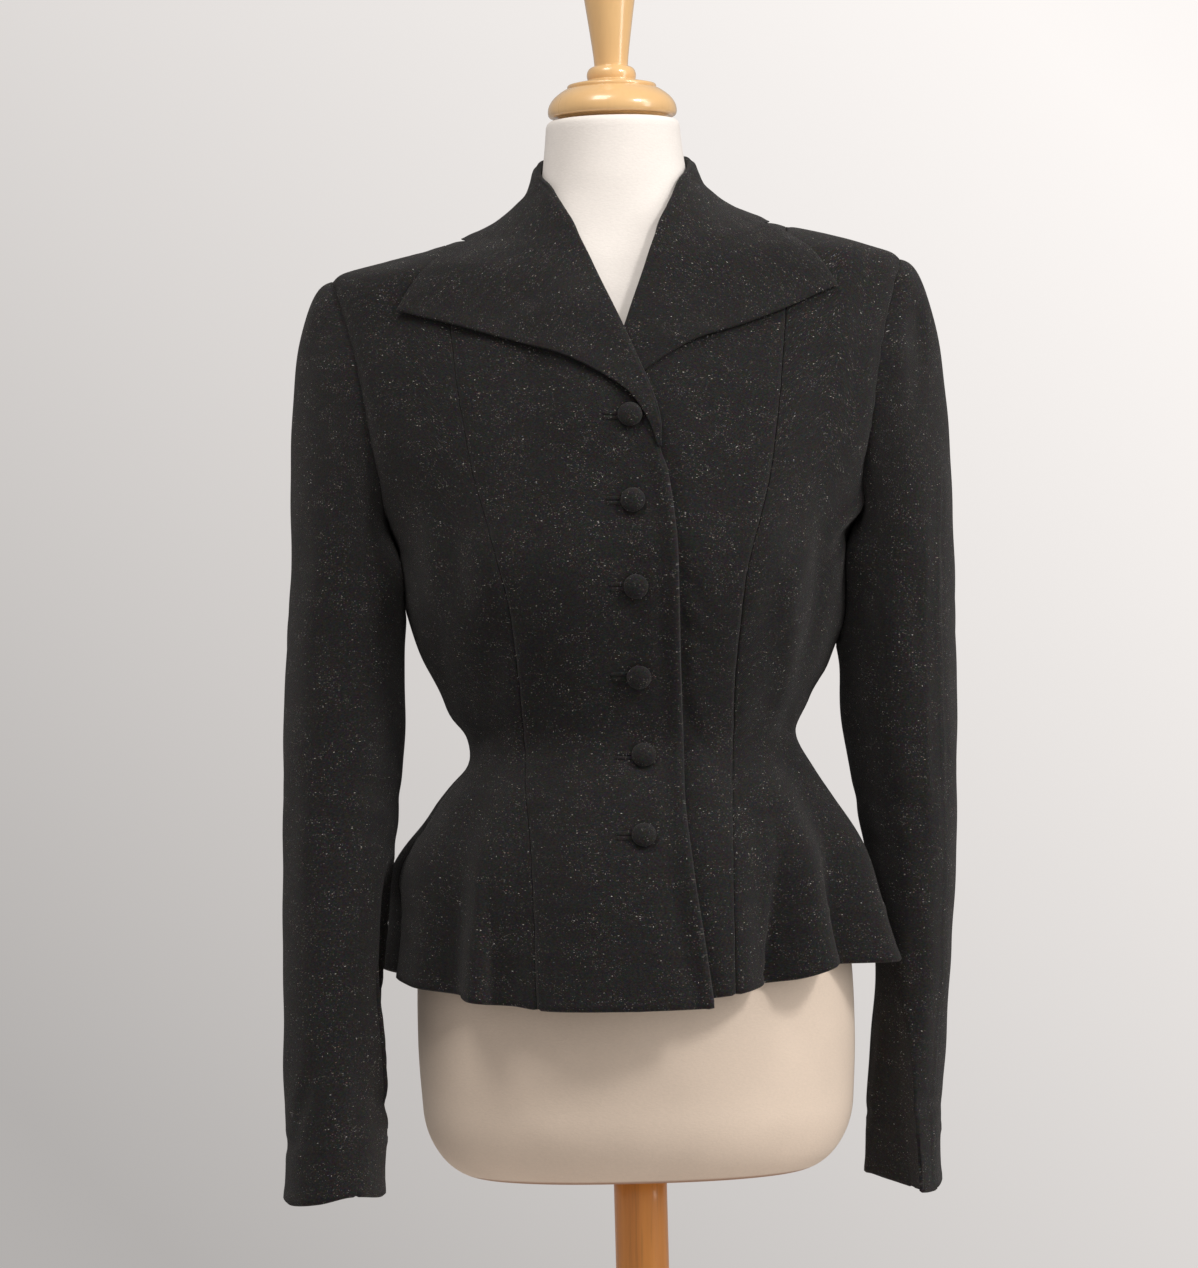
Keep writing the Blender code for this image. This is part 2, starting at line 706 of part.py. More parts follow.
def fall_point(over, up, edge, t):
    """A section of the fall: it leaves the fold downwards and runs out to the edge."""
    reach = np.linalg.norm(edge - over, axis=-1, keepdims=True)
    first = over - up * reach * FALL_LEAVE
    second = edge + (over - edge) * FALL_ARRIVE
    weights = ((1 - t) ** 3, 3 * t * (1 - t) ** 2, 3 * t**2 * (1 - t), t**3)
    return sum(w * p for w, p in zip(weights, (over, first, second, edge)))


def collar_grids():
    def on_right_front(angle, height):
        x = torso_radius(angle, height) * np.sin(angle)
        return lap_lift(-x, height)

    def on_left_front(angle, height):
        return np.zeros(np.broadcast(angle, height).shape)

    right = mirrored(collar_grid(0.0, on_right_front))
    left = collar_grid(LEFT_SHIFT, on_left_front)
    yield "collar_right", trimmed(right, first_column=False, last_column=False)
    yield "collar_left", trimmed(left, first_column=False, last_column=False)


def mesh_object(name, points, faces, finish):
    mesh = bpy.data.meshes.new(name)
    mesh.from_pydata([tuple(p) for p in points], [], faces)
    shape = bmesh.new()
    shape.from_mesh(mesh)
    bmesh.ops.recalc_face_normals(shape, faces=shape.faces)
    shape.to_mesh(mesh)
    shape.free()
    built = bpy.data.objects.new(name, mesh)
    built.data.materials.append(material(*finish))
    built.data.shade_smooth()
    object_collection().objects.link(built)
    return built


def object_collection():
    if COLLECTION in bpy.data.collections:
        return bpy.data.collections[COLLECTION]
    made = bpy.data.collections.new(COLLECTION)
    bpy.context.scene.collection.children.link(made)
    return made


def material(name, colour, roughness):
    if name in bpy.data.materials:
        return bpy.data.materials[name]
    made = bpy.data.materials.new(name)
    made.use_nodes = True
    shader = made.node_tree.nodes["Principled BSDF"]
    shader.inputs["Base Color"].default_value = colour
    shader.inputs["Roughness"].default_value = roughness
    return made


def grid_faces(rows, columns, closed=False):
    wide = columns if closed else columns - 1
    for j in range(rows - 1):
        for i in range(wide):
            k = (i + 1) % columns
            yield (j * columns + i, j * columns + k, (j + 1) * columns + k, (j + 1) * columns + i)


def sheet(name, grid, wall=CLOTH, left_out=()):
    """A cloth piece: the open sheet through its rows, given its wall to both sides."""
    rows, columns = grid.shape[:2]
    faces = [face for i, face in enumerate(grid_faces(rows, columns)) if i not in left_out]
    built = mesh_object(name, grid.reshape(-1, 3), faces, TWEED)
    solid = built.modifiers.new("wall", "SOLIDIFY")
    solid.thickness = wall
    solid.offset = 0.0
    solid.use_even_offset = True
    return built


def turned(name, profile, steps, finish):
    """A piece turned from its profile, which runs down its outer side from top to bottom."""
    edges = [(i, i + 1) for i in range(len(profile) - 1)]
    mesh = bpy.data.meshes.new(name)
    mesh.from_pydata([(r, 0.0, h) for r, h in profile], edges, [])
    built = bpy.data.objects.new(name, mesh)
    built.data.materials.append(material(*finish))
    object_collection().objects.link(built)
    spin = built.modifiers.new("turn", "SCREW")
    spin.steps = steps
    spin.render_steps = steps
    spin.use_merge_vertices = True
    spin.merge_threshold = 1e-5
    return built


def right_front_surface():
    """The right front's own facets, which its fastenings are set on."""
    grid = dict(front_grids())["front_centre_right"]
    points = [tuple(p) for p in grid.reshape(-1, 3)]
    return BVHTree.FromPolygons(points, list(grid_faces(*grid.shape[:2])))


def lap_point(front, x, height, lift):
    """A point above the middle of the right front's cloth, and the way out of it."""
    on_cloth = front.ray_cast((x, -1.0, height), (0.0, 1.0, 0.0))[0]
    out = torso_normal(angle_at(x, height), height)
    return np.array(on_cloth) + out * lift, out


def add_fastenings():
    front = right_front_surface()
    for number, height in enumerate(BUTTON_HEIGHTS, 1):
        add_buttonhole(f"buttonhole_{number}", front, height)
        seat, out = lap_point(front, BUTTON_OUT, height, CLOTH / 2 + BUTTON_SEAT)
        button = turned(f"button_{number}", BUTTON_PROFILE, BUTTON_SIDES, TWEED)
        button.location = seat
        button.rotation_mode = "QUATERNION"
        button.rotation_quaternion = facing(out)


def facing(out):
    """The turn that takes +Z to this direction."""
    axis = np.cross((0.0, 0.0, 1.0), out)
    half = math.acos(float(out[2])) / 2
    axis = unit(axis) * math.sin(half)
    return (math.cos(half), *axis)


def add_buttonhole(name, front, height):
    """Two lips of a bound buttonhole, joined at their ends, on the right front's own points."""
    start, end = (BUTTON_OUT + reach for reach in BUTTONHOLE_REACH)
    across = (start, start + BUTTONHOLE_END, (start + end) / 2, end - BUTTONHOLE_END, end)
    lift = CLOTH / 2 + LIP_GAP + LIP_WALL / 2
    rows = [[lap_point(front, x, height + rise, lift)[0] for x in across] for rise in LIP_HEIGHTS]
    sheet(name, np.array(rows), LIP_WALL, left_out=(5, 6))


def add_form():
    turn = np.linspace(0, 2 * math.pi, FORM_SIDES, endpoint=False)
    heights = [level.height for level in FORM]
    rows = [ring_point(ring_radius(FORM, turn, z), turn, np.full(FORM_SIDES, z)) for z in heights]
    faces = list(grid_faces(len(rows), FORM_SIDES, closed=True))
    last = (len(rows) - 1) * FORM_SIDES
    faces.append(tuple(range(FORM_SIDES)))
    faces.append(tuple(range(last, last + FORM_SIDES)))
    mesh_object("form_torso", np.concatenate(rows), faces, JERSEY)
    cap = turned("form_neck_cap", CAP_PROFILE, TURNED_SIDES, BLOND_WOOD)
    cap.location = (0.0, CAP_SHIFT, CAP_SEAT)
    turned("form_base", BASE_PROFILE, BASE_SIDES, BROWN_WOOD)
    bottom = BASE_PROFILE[0][1] + SEAM_GAP
    top = FORM[0].height - SEAM_GAP
    pole = [(0.0, top), (POLE_RADIUS, top), (POLE_RADIUS, bottom), (0.0, bottom)]
    turned("form_pole", pole, TURNED_SIDES, BROWN_WOOD)


def build():
    for old in list(bpy.data.objects):
        bpy.data.objects.remove(old, do_unlink=True)
    for grids in (front_grids(), back_grids(), sleeve_grids(), collar_grids()):
        for name, grid in grids:
            sheet(name, grid)
    add_fastenings()
    add_form()


build()
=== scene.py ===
"""The looks of a fitted tweed jacket on a limbless dress form: cloth shells, covered buttons, jersey,
woods, light and camera.

Metres, +Z up, the front faces -Y, the wearer's left is +X. Angles on the torso run from 0 at centre front,
through 90 degrees at the wearer's left side, to 180 at centre back. Round a sleeve they run from 0 on the
side away from the body, through 90 at the front. Each cloth piece is a fine grid through the same rings as
its solid, moved along its normals by folds and seams, and then given its wall.
"""

import math
from collections import namedtuple

import bmesh
import bpy
import numpy as np
from mathutils import Matrix, Vector


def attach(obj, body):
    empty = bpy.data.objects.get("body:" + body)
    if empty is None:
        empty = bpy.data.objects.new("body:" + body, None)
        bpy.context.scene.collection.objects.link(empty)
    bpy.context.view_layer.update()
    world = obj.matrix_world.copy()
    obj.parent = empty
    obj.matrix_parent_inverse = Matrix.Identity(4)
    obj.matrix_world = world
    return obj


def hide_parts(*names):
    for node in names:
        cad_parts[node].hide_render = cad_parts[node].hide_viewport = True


CLOTH_UV = "cloth"

CLOTH = 0.0020
LAY = 0.0034

HEM_SIDE = 0.9315
WAIST = 1.079
UNDERARM = 1.218
SHOULDER = 1.388
NECK_POINT = 1.4375
BACK_NECK = 1.4320
FLUTE_TOP = 1.066
FLUTE_GROWTH = 1.05
FLUTE_LIMIT = 1.3
ROUNDNESS = 2.1

# Steps for slopes and searches on the torso's surface.
ANGLE_STEP = 1e-3
PLACE_STEP = 2e-4
RISE_STEP = 1e-3
CLEARING_PASSES = 6
HALVINGS = 40
RIDGE_STEPS = 200

# Rows and columns of the panels, about 3 mm apart.
PEPLUM_ROWS = 50
BODICE_ROWS = 44
RIGHT_FRONT_COLUMNS = 44
LEFT_FRONT_COLUMNS = 36
SIDE_FRONT_COLUMNS = 48
BACK_COLUMNS = 84
BACK_NECK_COLUMN = 48
UPPER_PANEL = (0.60, 0.74)
TOP_OF_PANEL = (0.75, 1.0)

Level = namedtuple("Level", "height half_width front back")
TORSO = (
    Level(0.880, 0.158, 0.139, 0.144),
    Level(0.931, 0.154, 0.135, 0.139),
    Level(0.969, 0.150, 0.130, 0.131),
    Level(1.002, 0.147, 0.122, 0.118),
    Level(1.035, 0.132, 0.108, 0.098),
    Level(1.079, 0.106, 0.091, 0.075),
    Level(1.102, 0.118, 0.096, 0.079),
    Level(1.135, 0.136, 0.106, 0.087),
    Level(1.165, 0.145, 0.114, 0.093),
    Level(1.195, 0.150, 0.117, 0.098),
    Level(1.218, 0.157, 0.115, 0.101),
    Level(1.275, 0.186, 0.106, 0.104),
    Level(1.335, 0.198, 0.086, 0.098),
    Level(1.370, 0.197, 0.072, 0.089),
    Level(1.388, 0.190, 0.065, 0.083),
    Level(1.400, 0.148, 0.060, 0.079),
    Level(1.4105, 0.104, 0.056, 0.074),
    Level(1.4375, 0.060, 0.049, 0.066),
    Level(1.450, 0.053, 0.047, 0.061),
    Level(1.465, 0.0500, 0.0460, 0.0580),
    Level(1.491, 0.0475, 0.0455, 0.0520),
)
FORM = (
    Level(0.7880, 0.1400, 0.1035, 0.1000),
    Level(0.830, 0.1430, 0.1060, 0.1040),
    Level(0.880, 0.1455, 0.108, 0.109),
    Level(0.940, 0.143, 0.106, 0.110),
    Level(1.000, 0.127, 0.099, 0.097),
    Level(1.040, 0.112, 0.091, 0.081),
    Level(1.079, 0.1025, 0.0875, 0.0715),
    Level(1.102, 0.114, 0.092, 0.075),
    Level(1.135, 0.131, 0.102, 0.083),
    Level(1.165, 0.140, 0.110, 0.089),
    Level(1.195, 0.145, 0.113, 0.094),
    Level(1.218, 0.151, 0.111, 0.097),
    Level(1.275, 0.165, 0.102, 0.100),
    Level(1.335, 0.177, 0.082, 0.094),
    Level(1.370, 0.182, 0.067, 0.084),
    Level(1.3855, 0.181, 0.059, 0.077),
    Level(1.3975, 0.145, 0.054, 0.073),
    Level(1.4083, 0.0985, 0.050, 0.069),
    Level(1.4205, 0.0725, 0.0470, 0.0650),
    Level(1.4360, 0.0550, 0.0445, 0.0615),
    Level(1.450, 0.0490, 0.0435, 0.0570),
    Level(1.465, 0.0465, 0.0425, 0.0545),
    Level(1.4905, 0.0440, 0.0420, 0.0480),
)

Mound = namedtuple("Mound", "out height wide tall lift")
BUST = Mound(out=0.078, height=1.190, wide=0.050, tall=0.048, lift=0.013)

# One row for each ridge and valley of the peplum, as it stands out at the hem.
Fold = namedtuple("Fold", "angle reach")
FLUTES = (
    Fold(-180, 0.004),
    Fold(-174, 0.004),
    Fold(-161, -0.007),
    Fold(-147, 0.013),
    Fold(-128, -0.009),
    Fold(-104, 0.021),
    Fold(-84, -0.005),
    Fold(-66, 0.006),
    Fold(-53, -0.006),
    Fold(-42, 0.010),
    Fold(-33, -0.005),
    Fold(-22, 0.000),
    Fold(28, 0.000),
    Fold(40, -0.009),
    Fold(53, 0.013),
    Fold(64, -0.012),
    Fold(75, 0.025),
    Fold(93, -0.008),
    Fold(112, 0.012),
    Fold(130, -0.008),
    Fold(148, 0.012),
    Fold(162, -0.007),
    Fold(174, 0.004),
    Fold(180, 0.004),
)
Hem = namedtuple("Hem", "angle height")
HEM = (
    Hem(0, 0.9085),
    Hem(25, 0.9105),
    Hem(45, 0.9200),
    Hem(75, 0.9310),
    Hem(90, HEM_SIDE),
    Hem(110, 0.9320),
    Hem(180, 0.9280),
)
# How much higher or lower each side of the hem hangs. The left front, under the lap, is a little shorter.
RIGHT_HEM_SHIFT = (
    Hem(0, -0.0020),
    Hem(22, -0.0026),
    Hem(45, -0.0060),
    Hem(65, -0.0085),
    Hem(90, -0.0070),
    Hem(115, -0.0015),
    Hem(140, 0.0),
    Hem(180, 0.0),
)
LEFT_HEM_SHIFT = (
    Hem(0, 0.0040),
    Hem(30, 0.0034),
    Hem(45, 0.0014),
    Hem(55, 0.0050),
    Hem(65, -0.0006),
    Hem(78, -0.0036),
    Hem(90, -0.0036),
    Hem(115, -0.0010),
    Hem(140, 0.0),
    Hem(180, 0.0),
)

# Seams of the fronts: how far from the centre line, at each height.
Seam = namedtuple("Seam", "height out")
PRINCESS = (
    Seam(0.880, 0.0640),
    Seam(1.000, 0.0655),
    Seam(1.079, 0.0680),
    Seam(1.115, 0.0700),
    Seam(1.180, 0.0785),
    Seam(1.265, 0.0985),
    Seam(1.340, 0.1085),
    Seam(1.4085, 0.1130),
)
LAP_EDGE = (
    Seam(0.880, 0.0505),
    Seam(0.910, 0.0475),
    Seam(0.950, 0.0425),
    Seam(0.995, 0.0370),
    Seam(1.046, 0.0330),
    Seam(1.116, 0.0328),
    Seam(1.193, 0.0335),
    Seam(1.251, 0.0279),
    Seam(1.288, 0.0215),
)
UNDERLAP = 0.018
RIGHT_BREAK = (1.248, 1.272)
LEFT_BREAK = (1.268, 1.288)
ARMHOLE = (
    Seam(UNDERARM, 0.1570),
    Seam(1.245, 0.1600),
    Seam(1.275, 0.1650),
    Seam(1.335, 0.1750),
    Seam(1.370, 0.1845),
    Seam(SHOULDER, 0.1900),
)

# The right front and its lapel lie over the left ones: how far the right front is lifted at each height.
Lift = namedtuple("Lift", "height lift")
LAP_LIFT = (
    Lift(0.880, 0.0044),
    Lift(1.000, 0.0037),
    Lift(1.255, 0.0037),
    Lift(1.290, 0.0072),
    Lift(1.354, 0.0070),
    Lift(1.398, 0.0000),
    Lift(1.450, 0.0000),
)
LAP_RISE = (-0.060, -0.026)

# Rows of the wing collar from the break of the lapel to centre back. The neck edge, the height of the
# stand that rises from it, and the outer edge of the fall. A back row is on the back of the torso.
Wing = namedtuple(
    "Wing", "neck_out neck_height stand edge_out edge_height neck_back edge_back", defaults=(False, False)
)
WING = (
    Wing(-0.0215, 1.2920, 0.0015, -0.0125, 1.2945),
    Wing(-0.0165, 1.3060, 0.0015, -0.0010, 1.3045),
    Wing(-0.0095, 1.3220, 0.0015, 0.0180, 1.3155),
    Wing(-0.0028, 1.3370, 0.0015, 0.0450, 1.3285),
    Wing(0.0038, 1.3515, 0.0015, 0.0800, 1.3405),
    Wing(0.0104, 1.3660, 0.0015, 0.1110, 1.3520),
    Wing(0.0165, 1.3790, 0.0018, 0.1430, 1.3635),
    Wing(0.0225, 1.3920, 0.0022, 0.1355, 1.3770),
    Wing(0.0290, 1.4040, 0.0030, 0.1225, 1.3920),
    Wing(0.0370, 1.4160, 0.0060, 0.1085, 1.4025),
    Wing(0.0505, 1.4300, 0.0120, 0.0975, 1.4085),
    Wing(0.0600, 1.4375, 0.0180, 0.0885, 1.4130, False, True),
    Wing(0.0560, 1.4385, 0.0230, 0.0770, 1.4040, True, True),
    Wing(0.0320, 1.4360, 0.0270, 0.0430, 1.3950, True, True),
    Wing(0.0000, 1.4320, 0.0290, 0.0000, 1.3925, True, True),
)

# The right lapel runs out in a narrow tail along the edge of its front.
TAIL = (
    Wing(-0.0281, 1.2650, 0.0002, -0.0275, 1.2640),
    Wing(-0.0253, 1.2780, 0.0015, -0.0225, 1.2785),
)
TAIL_LAY = 0.0019
TAIL_FOLD = 0.40
TAIL_START = 0.0014
POINT_ROW = 6
# The left half is set further out than the right one, which covers its lower end.
RIGHT_SHIFT = 0.004
LEFT_SHIFT = 0.014
SHIFT_REACH = 0.15
LOWER_EDGE = (1.345, 1.300)
RAISED_EDGE = (1.358, 1.316)
TIP_ROWS = 1.3
Half = namedtuple("Half", "wing point shift tip_rise edge_rise")
RIGHT_HALF = Half(TAIL + WING, len(TAIL) + POINT_ROW, RIGHT_SHIFT, tip_rise=-0.0026, edge_rise=0.0009)
LEFT_HALF = Half(WING, POINT_ROW, LEFT_SHIFT, tip_rise=0.0034, edge_rise=0.0080)
LAPEL_FOLD = 0.0014
NECK_FOLD = 0.0013
STAND_START = 0.0017
STAND_GROWS = (0.003, 0.012)
STAND_LEAN = 0.0018
NECK_EASE = 0.0004
SHOULDER_LAY = 0.0024
SHOULDER_EDGE_LAY = 0.0014
SHOULDER_EDGE = (0.85, 1.0)
SHOULDER_PRESS = (0.30, 0.70)
SHOULDER_ROWS = (0.5, 2.5)
BACK_ROWS = (7.0, 5.0)
NECK_EASE_HEIGHTS = (1.390, 1.412)
# The edge beds into the shoulder: how deep and wide the groove is, and how far inside the edge it lies.
COLLAR_GROOVE = 0.0014
COLLAR_GROOVE_WIDTH = 0.0045
COLLAR_GROOVE_INSET = 0.0042
STAND_STEPS = 6
FOLD_STEPS = 9
FALL_STEPS = 44
FALL_LEAVE_LAPEL = 0.30
FALL_LEAVE_NECK = 0.45
FALL_ARRIVE = 0.35
LOWER_LIFT = 0.0009
UPPER_LIFT = 0.0002
LIFT_WIDTH = 0.016
COVERED_ROWS = (2.2, 3.4)
COVERED_SINK = 0.0008
LAPEL_ROWS = 70
COLLAR_ROWS = 62

# Rings of each sleeve below its cap, outwards from the body: middle, half width and half depth.
Ring = namedtuple("Ring", "height out back half_width half_depth")
SLEEVE_RIGHT = (
    Ring(0.785, 0.2000, -0.058, 0.0320, 0.0405),
    Ring(0.815, 0.1988, -0.054, 0.0315, 0.0405),
    Ring(0.870, 0.1985, -0.045, 0.0325, 0.0420),
    Ring(0.930, 0.1972, -0.034, 0.0335, 0.0445),
    Ring(0.985, 0.1950, -0.023, 0.0350, 0.0475),
    Ring(1.040, 0.1925, -0.013, 0.0370, 0.0510),
    Ring(1.100, 0.1890, -0.006, 0.0385, 0.0550),
    Ring(1.150, 0.1870, -0.002, 0.0375, 0.0580),
    Ring(1.190, 0.1870, 0.000, 0.0335, 0.0600),
)
SLEEVE_LEFT = (
    Ring(0.776, 0.1755, 0.006, 0.0245, 0.0450),
    Ring(0.810, 0.1765, 0.010, 0.0240, 0.0450),
    Ring(0.870, 0.1820, 0.017, 0.0240, 0.0465),
    Ring(0.930, 0.1872, 0.020, 0.0245, 0.0490),
    Ring(0.985, 0.1875, 0.020, 0.0285, 0.0520),
    Ring(1.040, 0.1855, 0.017, 0.0325, 0.0545),
    Ring(1.100, 0.1830, 0.011, 0.0360, 0.0570),
    Ring(1.150, 0.1825, 0.006, 0.0365, 0.0590),
    Ring(1.190, 0.1860, 0.002, 0.0330, 0.0600),
)
# How far the edge of each cuff is above or below its last ring, round the sleeve.
CUFF_EDGE_RIGHT = (
    Hem(0, -0.0010),
    Hem(30, -0.0030),
    Hem(75, -0.0010),
    Hem(115, 0.0030),
    Hem(165, 0.0000),
    Hem(230, 0.0020),
    Hem(300, -0.0010),
    Hem(360, -0.0010),
)
CUFF_EDGE_LEFT = (
    Hem(0, 0.0015),
    Hem(50, -0.0025),
    Hem(90, -0.0005),
    Hem(120, 0.0005),
    Hem(145, 0.0045),
    Hem(175, 0.0075),
    Hem(230, 0.0030),
    Hem(300, 0.0000),
    Hem(360, 0.0015),
)
CUFF_WAVE_REACH = 0.05
ARMHOLE_STEPS = 54
ARMHOLE_TURN = 0.022
ARMHOLE_LEAD = 0.070
CAP_ROWS = 46
RING_ROWS = 134
CAP_SWING = 0.45
CAP_TUCK = 0.80
CAP_BULGE = 0.35
HEAD_FADE = 0.018
FRONT_SLEEVE_SEAM = 36
BACK_SLEEVE_SEAM = 78
SLEEVE_SMOOTHING = 4
SLEEVE_OFF = 0.0007
SLEEVE_OFF_HEIGHTS = (UNDERARM, 1.204)
# A welt down the left sleeve where its seam allowance shows through: the angle at each height.
Welt = namedtuple("Welt", "height angle")
SLEEVE_WELT = (
    Welt(0.776, 41),
    Welt(0.828, 48),
    Welt(0.978, 47),
    Welt(1.193, 52),
    Welt(1.270, 40),
)
WELT_WIDTH = 0.0018
WELT_RISE = 0.0011
WELT_TROUGH = 0.5
WELT_TROUGH_AT = -1.8
WELT_FADE = (1.270, 1.215)

# Listed folds. The angle and height of the middle, the slope, half the length, half the width and
# how far the cloth rises, or sinks where that is below zero.
Crease = namedtuple("Crease", "angle height tilt reach width depth")
TORSO_CREASES = (
    Crease(-28, 1.200, 79, 0.036, 0.016, -0.0026),
    Crease(-40, 1.147, 53, 0.036, 0.015, -0.0026),
    Crease(-49, 1.192, 92, 0.034, 0.012, -0.0020),
    Crease(-60, 1.181, 88, 0.034, 0.012, 0.0024),
    Crease(-66, 1.140, 62, 0.030, 0.011, -0.0016),
    Crease(-80, 1.213, 130, 0.020, 0.009, -0.0022),
    Crease(52, 1.183, 74, 0.032, 0.011, 0.0030),
    Crease(56, 1.135, 111, 0.046, 0.011, 0.0030),
    Crease(63, 1.172, 92, 0.036, 0.012, -0.0030),
    Crease(76, 1.228, 40, 0.028, 0.009, 0.0042),
    Crease(74, 1.204, 38, 0.026, 0.009, -0.0044),
    Crease(46, 1.235, 70, 0.036, 0.030, 0.0040),
    Crease(90, 1.152, 0, 0.050, 0.018, 0.0034),
    Crease(90, 1.121, 0, 0.060, 0.020, 0.0030),
    Crease(90, 1.084, 0, 0.060, 0.026, 0.0050),
    Crease(90, 1.058, 0, 0.060, 0.018, 0.0026),
    Crease(-90, 1.096, 0, 0.060, 0.018, 0.0036),
    Crease(-90, 1.064, 0, 0.060, 0.012, -0.0040),
    Crease(-90, 1.046, 0, 0.060, 0.022, -0.0042),
    Crease(-90, 1.024, 0, 0.060, 0.015, -0.0022),
    Crease(-92, 0.984, 0, 0.050, 0.024, 0.0060),
    Crease(-79, 0.928, 90, 0.060, 0.020, 0.0075),
    Crease(30, 1.196, 80, 0.030, 0.014, -0.0014),
    Crease(21, 1.172, -58, 0.016, 0.006, -0.0016),
    Crease(22, 1.146, -47, 0.016, 0.006, -0.0015),
    Crease(26, 1.086, -55, 0.020, 0.007, -0.0020),
    Crease(4, 1.193, -4, 0.018, 0.006, -0.0012),
    Crease(4, 1.137, 3, 0.018, 0.006, -0.0010),
    Crease(5, 1.083, -5, 0.018, 0.006, -0.0010),
    Crease(12, 0.960, 100, 0.050, 0.010, -0.0016),
    Crease(-17, 0.972, 2, 0.050, 0.004, 0.0006),
    Crease(50, 1.026, -4, 0.016, 0.004, -0.0012),
    Crease(-62, 1.083, 4, 0.030, 0.009, -0.0016),
    Crease(-72, 1.101, -9, 0.026, 0.008, -0.0012),
    Crease(66, 1.090, -8, 0.028, 0.009, -0.0015),
    Crease(78, 1.108, 10, 0.024, 0.008, -0.0012),
    Crease(62, 1.305, 72, 0.042, 0.018, -0.0014),
    Crease(-62, 1.305, 106, 0.042, 0.018, -0.0016),
    Crease(104, 1.150, 84, 0.040, 0.013, 0.0020),
    Crease(118, 1.165, 95, 0.046, 0.014, -0.0022),
    Crease(-108, 1.155, 96, 0.042, 0.013, 0.0020),
    Crease(-122, 1.160, 86, 0.044, 0.014, -0.0022),
    Crease(140, 1.088, 5, 0.032, 0.009, -0.0015),
    Crease(-136, 1.092, -7, 0.034, 0.009, -0.0016),
    Crease(164, 1.103, -3, 0.026, 0.008, -0.0011),
    Crease(-160, 1.074, 5, 0.028, 0.008, -0.0012),
    Crease(146, 1.262, 66, 0.050, 0.020, -0.0022),
    Crease(-144, 1.255, 112, 0.050, 0.020, -0.0024),
    Crease(112, 1.235, 50, 0.030, 0.011, -0.0022),
    Crease(-110, 1.238, 128, 0.030, 0.011, -0.0022),
)
SLEEVE_CREASES_RIGHT = (
    Crease(55, 0.847, 62, 0.034, 0.010, -0.0022),
    Crease(95, 0.842, 60, 0.030, 0.012, 0.0012),
    Crease(20, 0.819, 4, 0.026, 0.006, -0.0022),
    Crease(172, 0.843, -6, 0.026, 0.007, -0.0020),
    Crease(262, 0.828, 5, 0.032, 0.007, -0.0018),
    Crease(140, 1.046, -22, 0.032, 0.010, -0.0020),
    Crease(150, 1.018, -10, 0.028, 0.009, -0.0016),
    Crease(100, 1.100, 86, 0.090, 0.016, -0.0012),
    Crease(62, 1.000, 94, 0.080, 0.015, 0.0010),
    Crease(140, 1.164, 64, 0.026, 0.010, -0.0020),
    Crease(180, 1.164, 0, 0.040, 0.020, 0.0030),
    Crease(180, 1.060, 90, 0.060, 0.026, 0.0022),
    Crease(180, 0.866, 90, 0.052, 0.026, 0.0044),
    Crease(148, 1.187, 0, 0.014, 0.030, 0.0124),
    Crease(215, 1.050, 18, 0.032, 0.010, -0.0020),
    Crease(236, 0.990, -24, 0.034, 0.011, -0.0018),
    Crease(300, 1.090, 82, 0.085, 0.017, -0.0014),
    Crease(330, 0.930, 96, 0.070, 0.015, -0.0012),
    Crease(262, 1.170, 76, 0.040, 0.013, -0.0020),
)
SLEEVE_CREASES_LEFT = (
    Crease(46, 1.333, 111, 0.034, 0.009, -0.0032),
    Crease(66, 1.318, 108, 0.030, 0.009, 0.0014),
    Crease(58, 1.346, 120, 0.012, 0.004, -0.0016),
    Crease(180, 1.160, 0, 0.040, 0.020, 0.0030),
    Crease(180, 1.085, 90, 0.070, 0.026, 0.0044),
    Crease(148, 1.190, 0, 0.014, 0.030, 0.0124),
    Crease(165, 1.141, 0, 0.020, 0.018, 0.0040),
    Crease(70, 1.168, 90, 0.034, 0.004, 0.0009),
    Crease(71, 1.060, 91, 0.044, 0.004, 0.0009),
    Crease(45, 0.829, 3, 0.022, 0.006, -0.0030),
    Crease(100, 0.826, -3, 0.024, 0.006, -0.0013),
    Crease(160, 0.821, -5, 0.024, 0.007, -0.0022),
    Crease(255, 0.826, 4, 0.030, 0.007, -0.0018),
    Crease(122, 1.034, 18, 0.034, 0.010, -0.0018),
    Crease(134, 1.000, 9, 0.028, 0.009, -0.0014),
    Crease(92, 0.930, 94, 0.070, 0.014, -0.0012),
    Crease(140, 1.168, 62, 0.030, 0.011, -0.0024),
    Crease(212, 1.040, 20, 0.032, 0.010, -0.0020),
    Crease(232, 0.985, -20, 0.034, 0.011, -0.0018),
    Crease(298, 1.100, 83, 0.085, 0.017, -0.0014),
    Crease(328, 0.940, 95, 0.070, 0.015, -0.0012),
    Crease(258, 1.175, 75, 0.040, 0.013, -0.0020),
)
# Folds of the peplum that drop sharply on the viewer's left and rise slowly again: the angle of the drop at
# the top and at the hem, how deep it is at the hem and how wide it rises.
Pleat = namedtuple("Pleat", "top hem depth rise")
PLEATS = (
    Pleat(47.5, 38.6, 0.0105, 0.024),
    Pleat(-44.5, -38.0, 0.0080, 0.013),
    Pleat(133.0, 128.0, 0.0060, 0.018),
    Pleat(-122.0, -130.0, 0.0060, 0.018),
)
PLEAT_HEIGHTS = (1.045, 0.925)
PLEAT_DROP = (-0.0035, 0.0010)
TORSO_UNROLL = 0.125
PEPLUM_UNROLL = 0.142
SLEEVE_UNROLL = 0.044
CREASE_LIP = 0.55

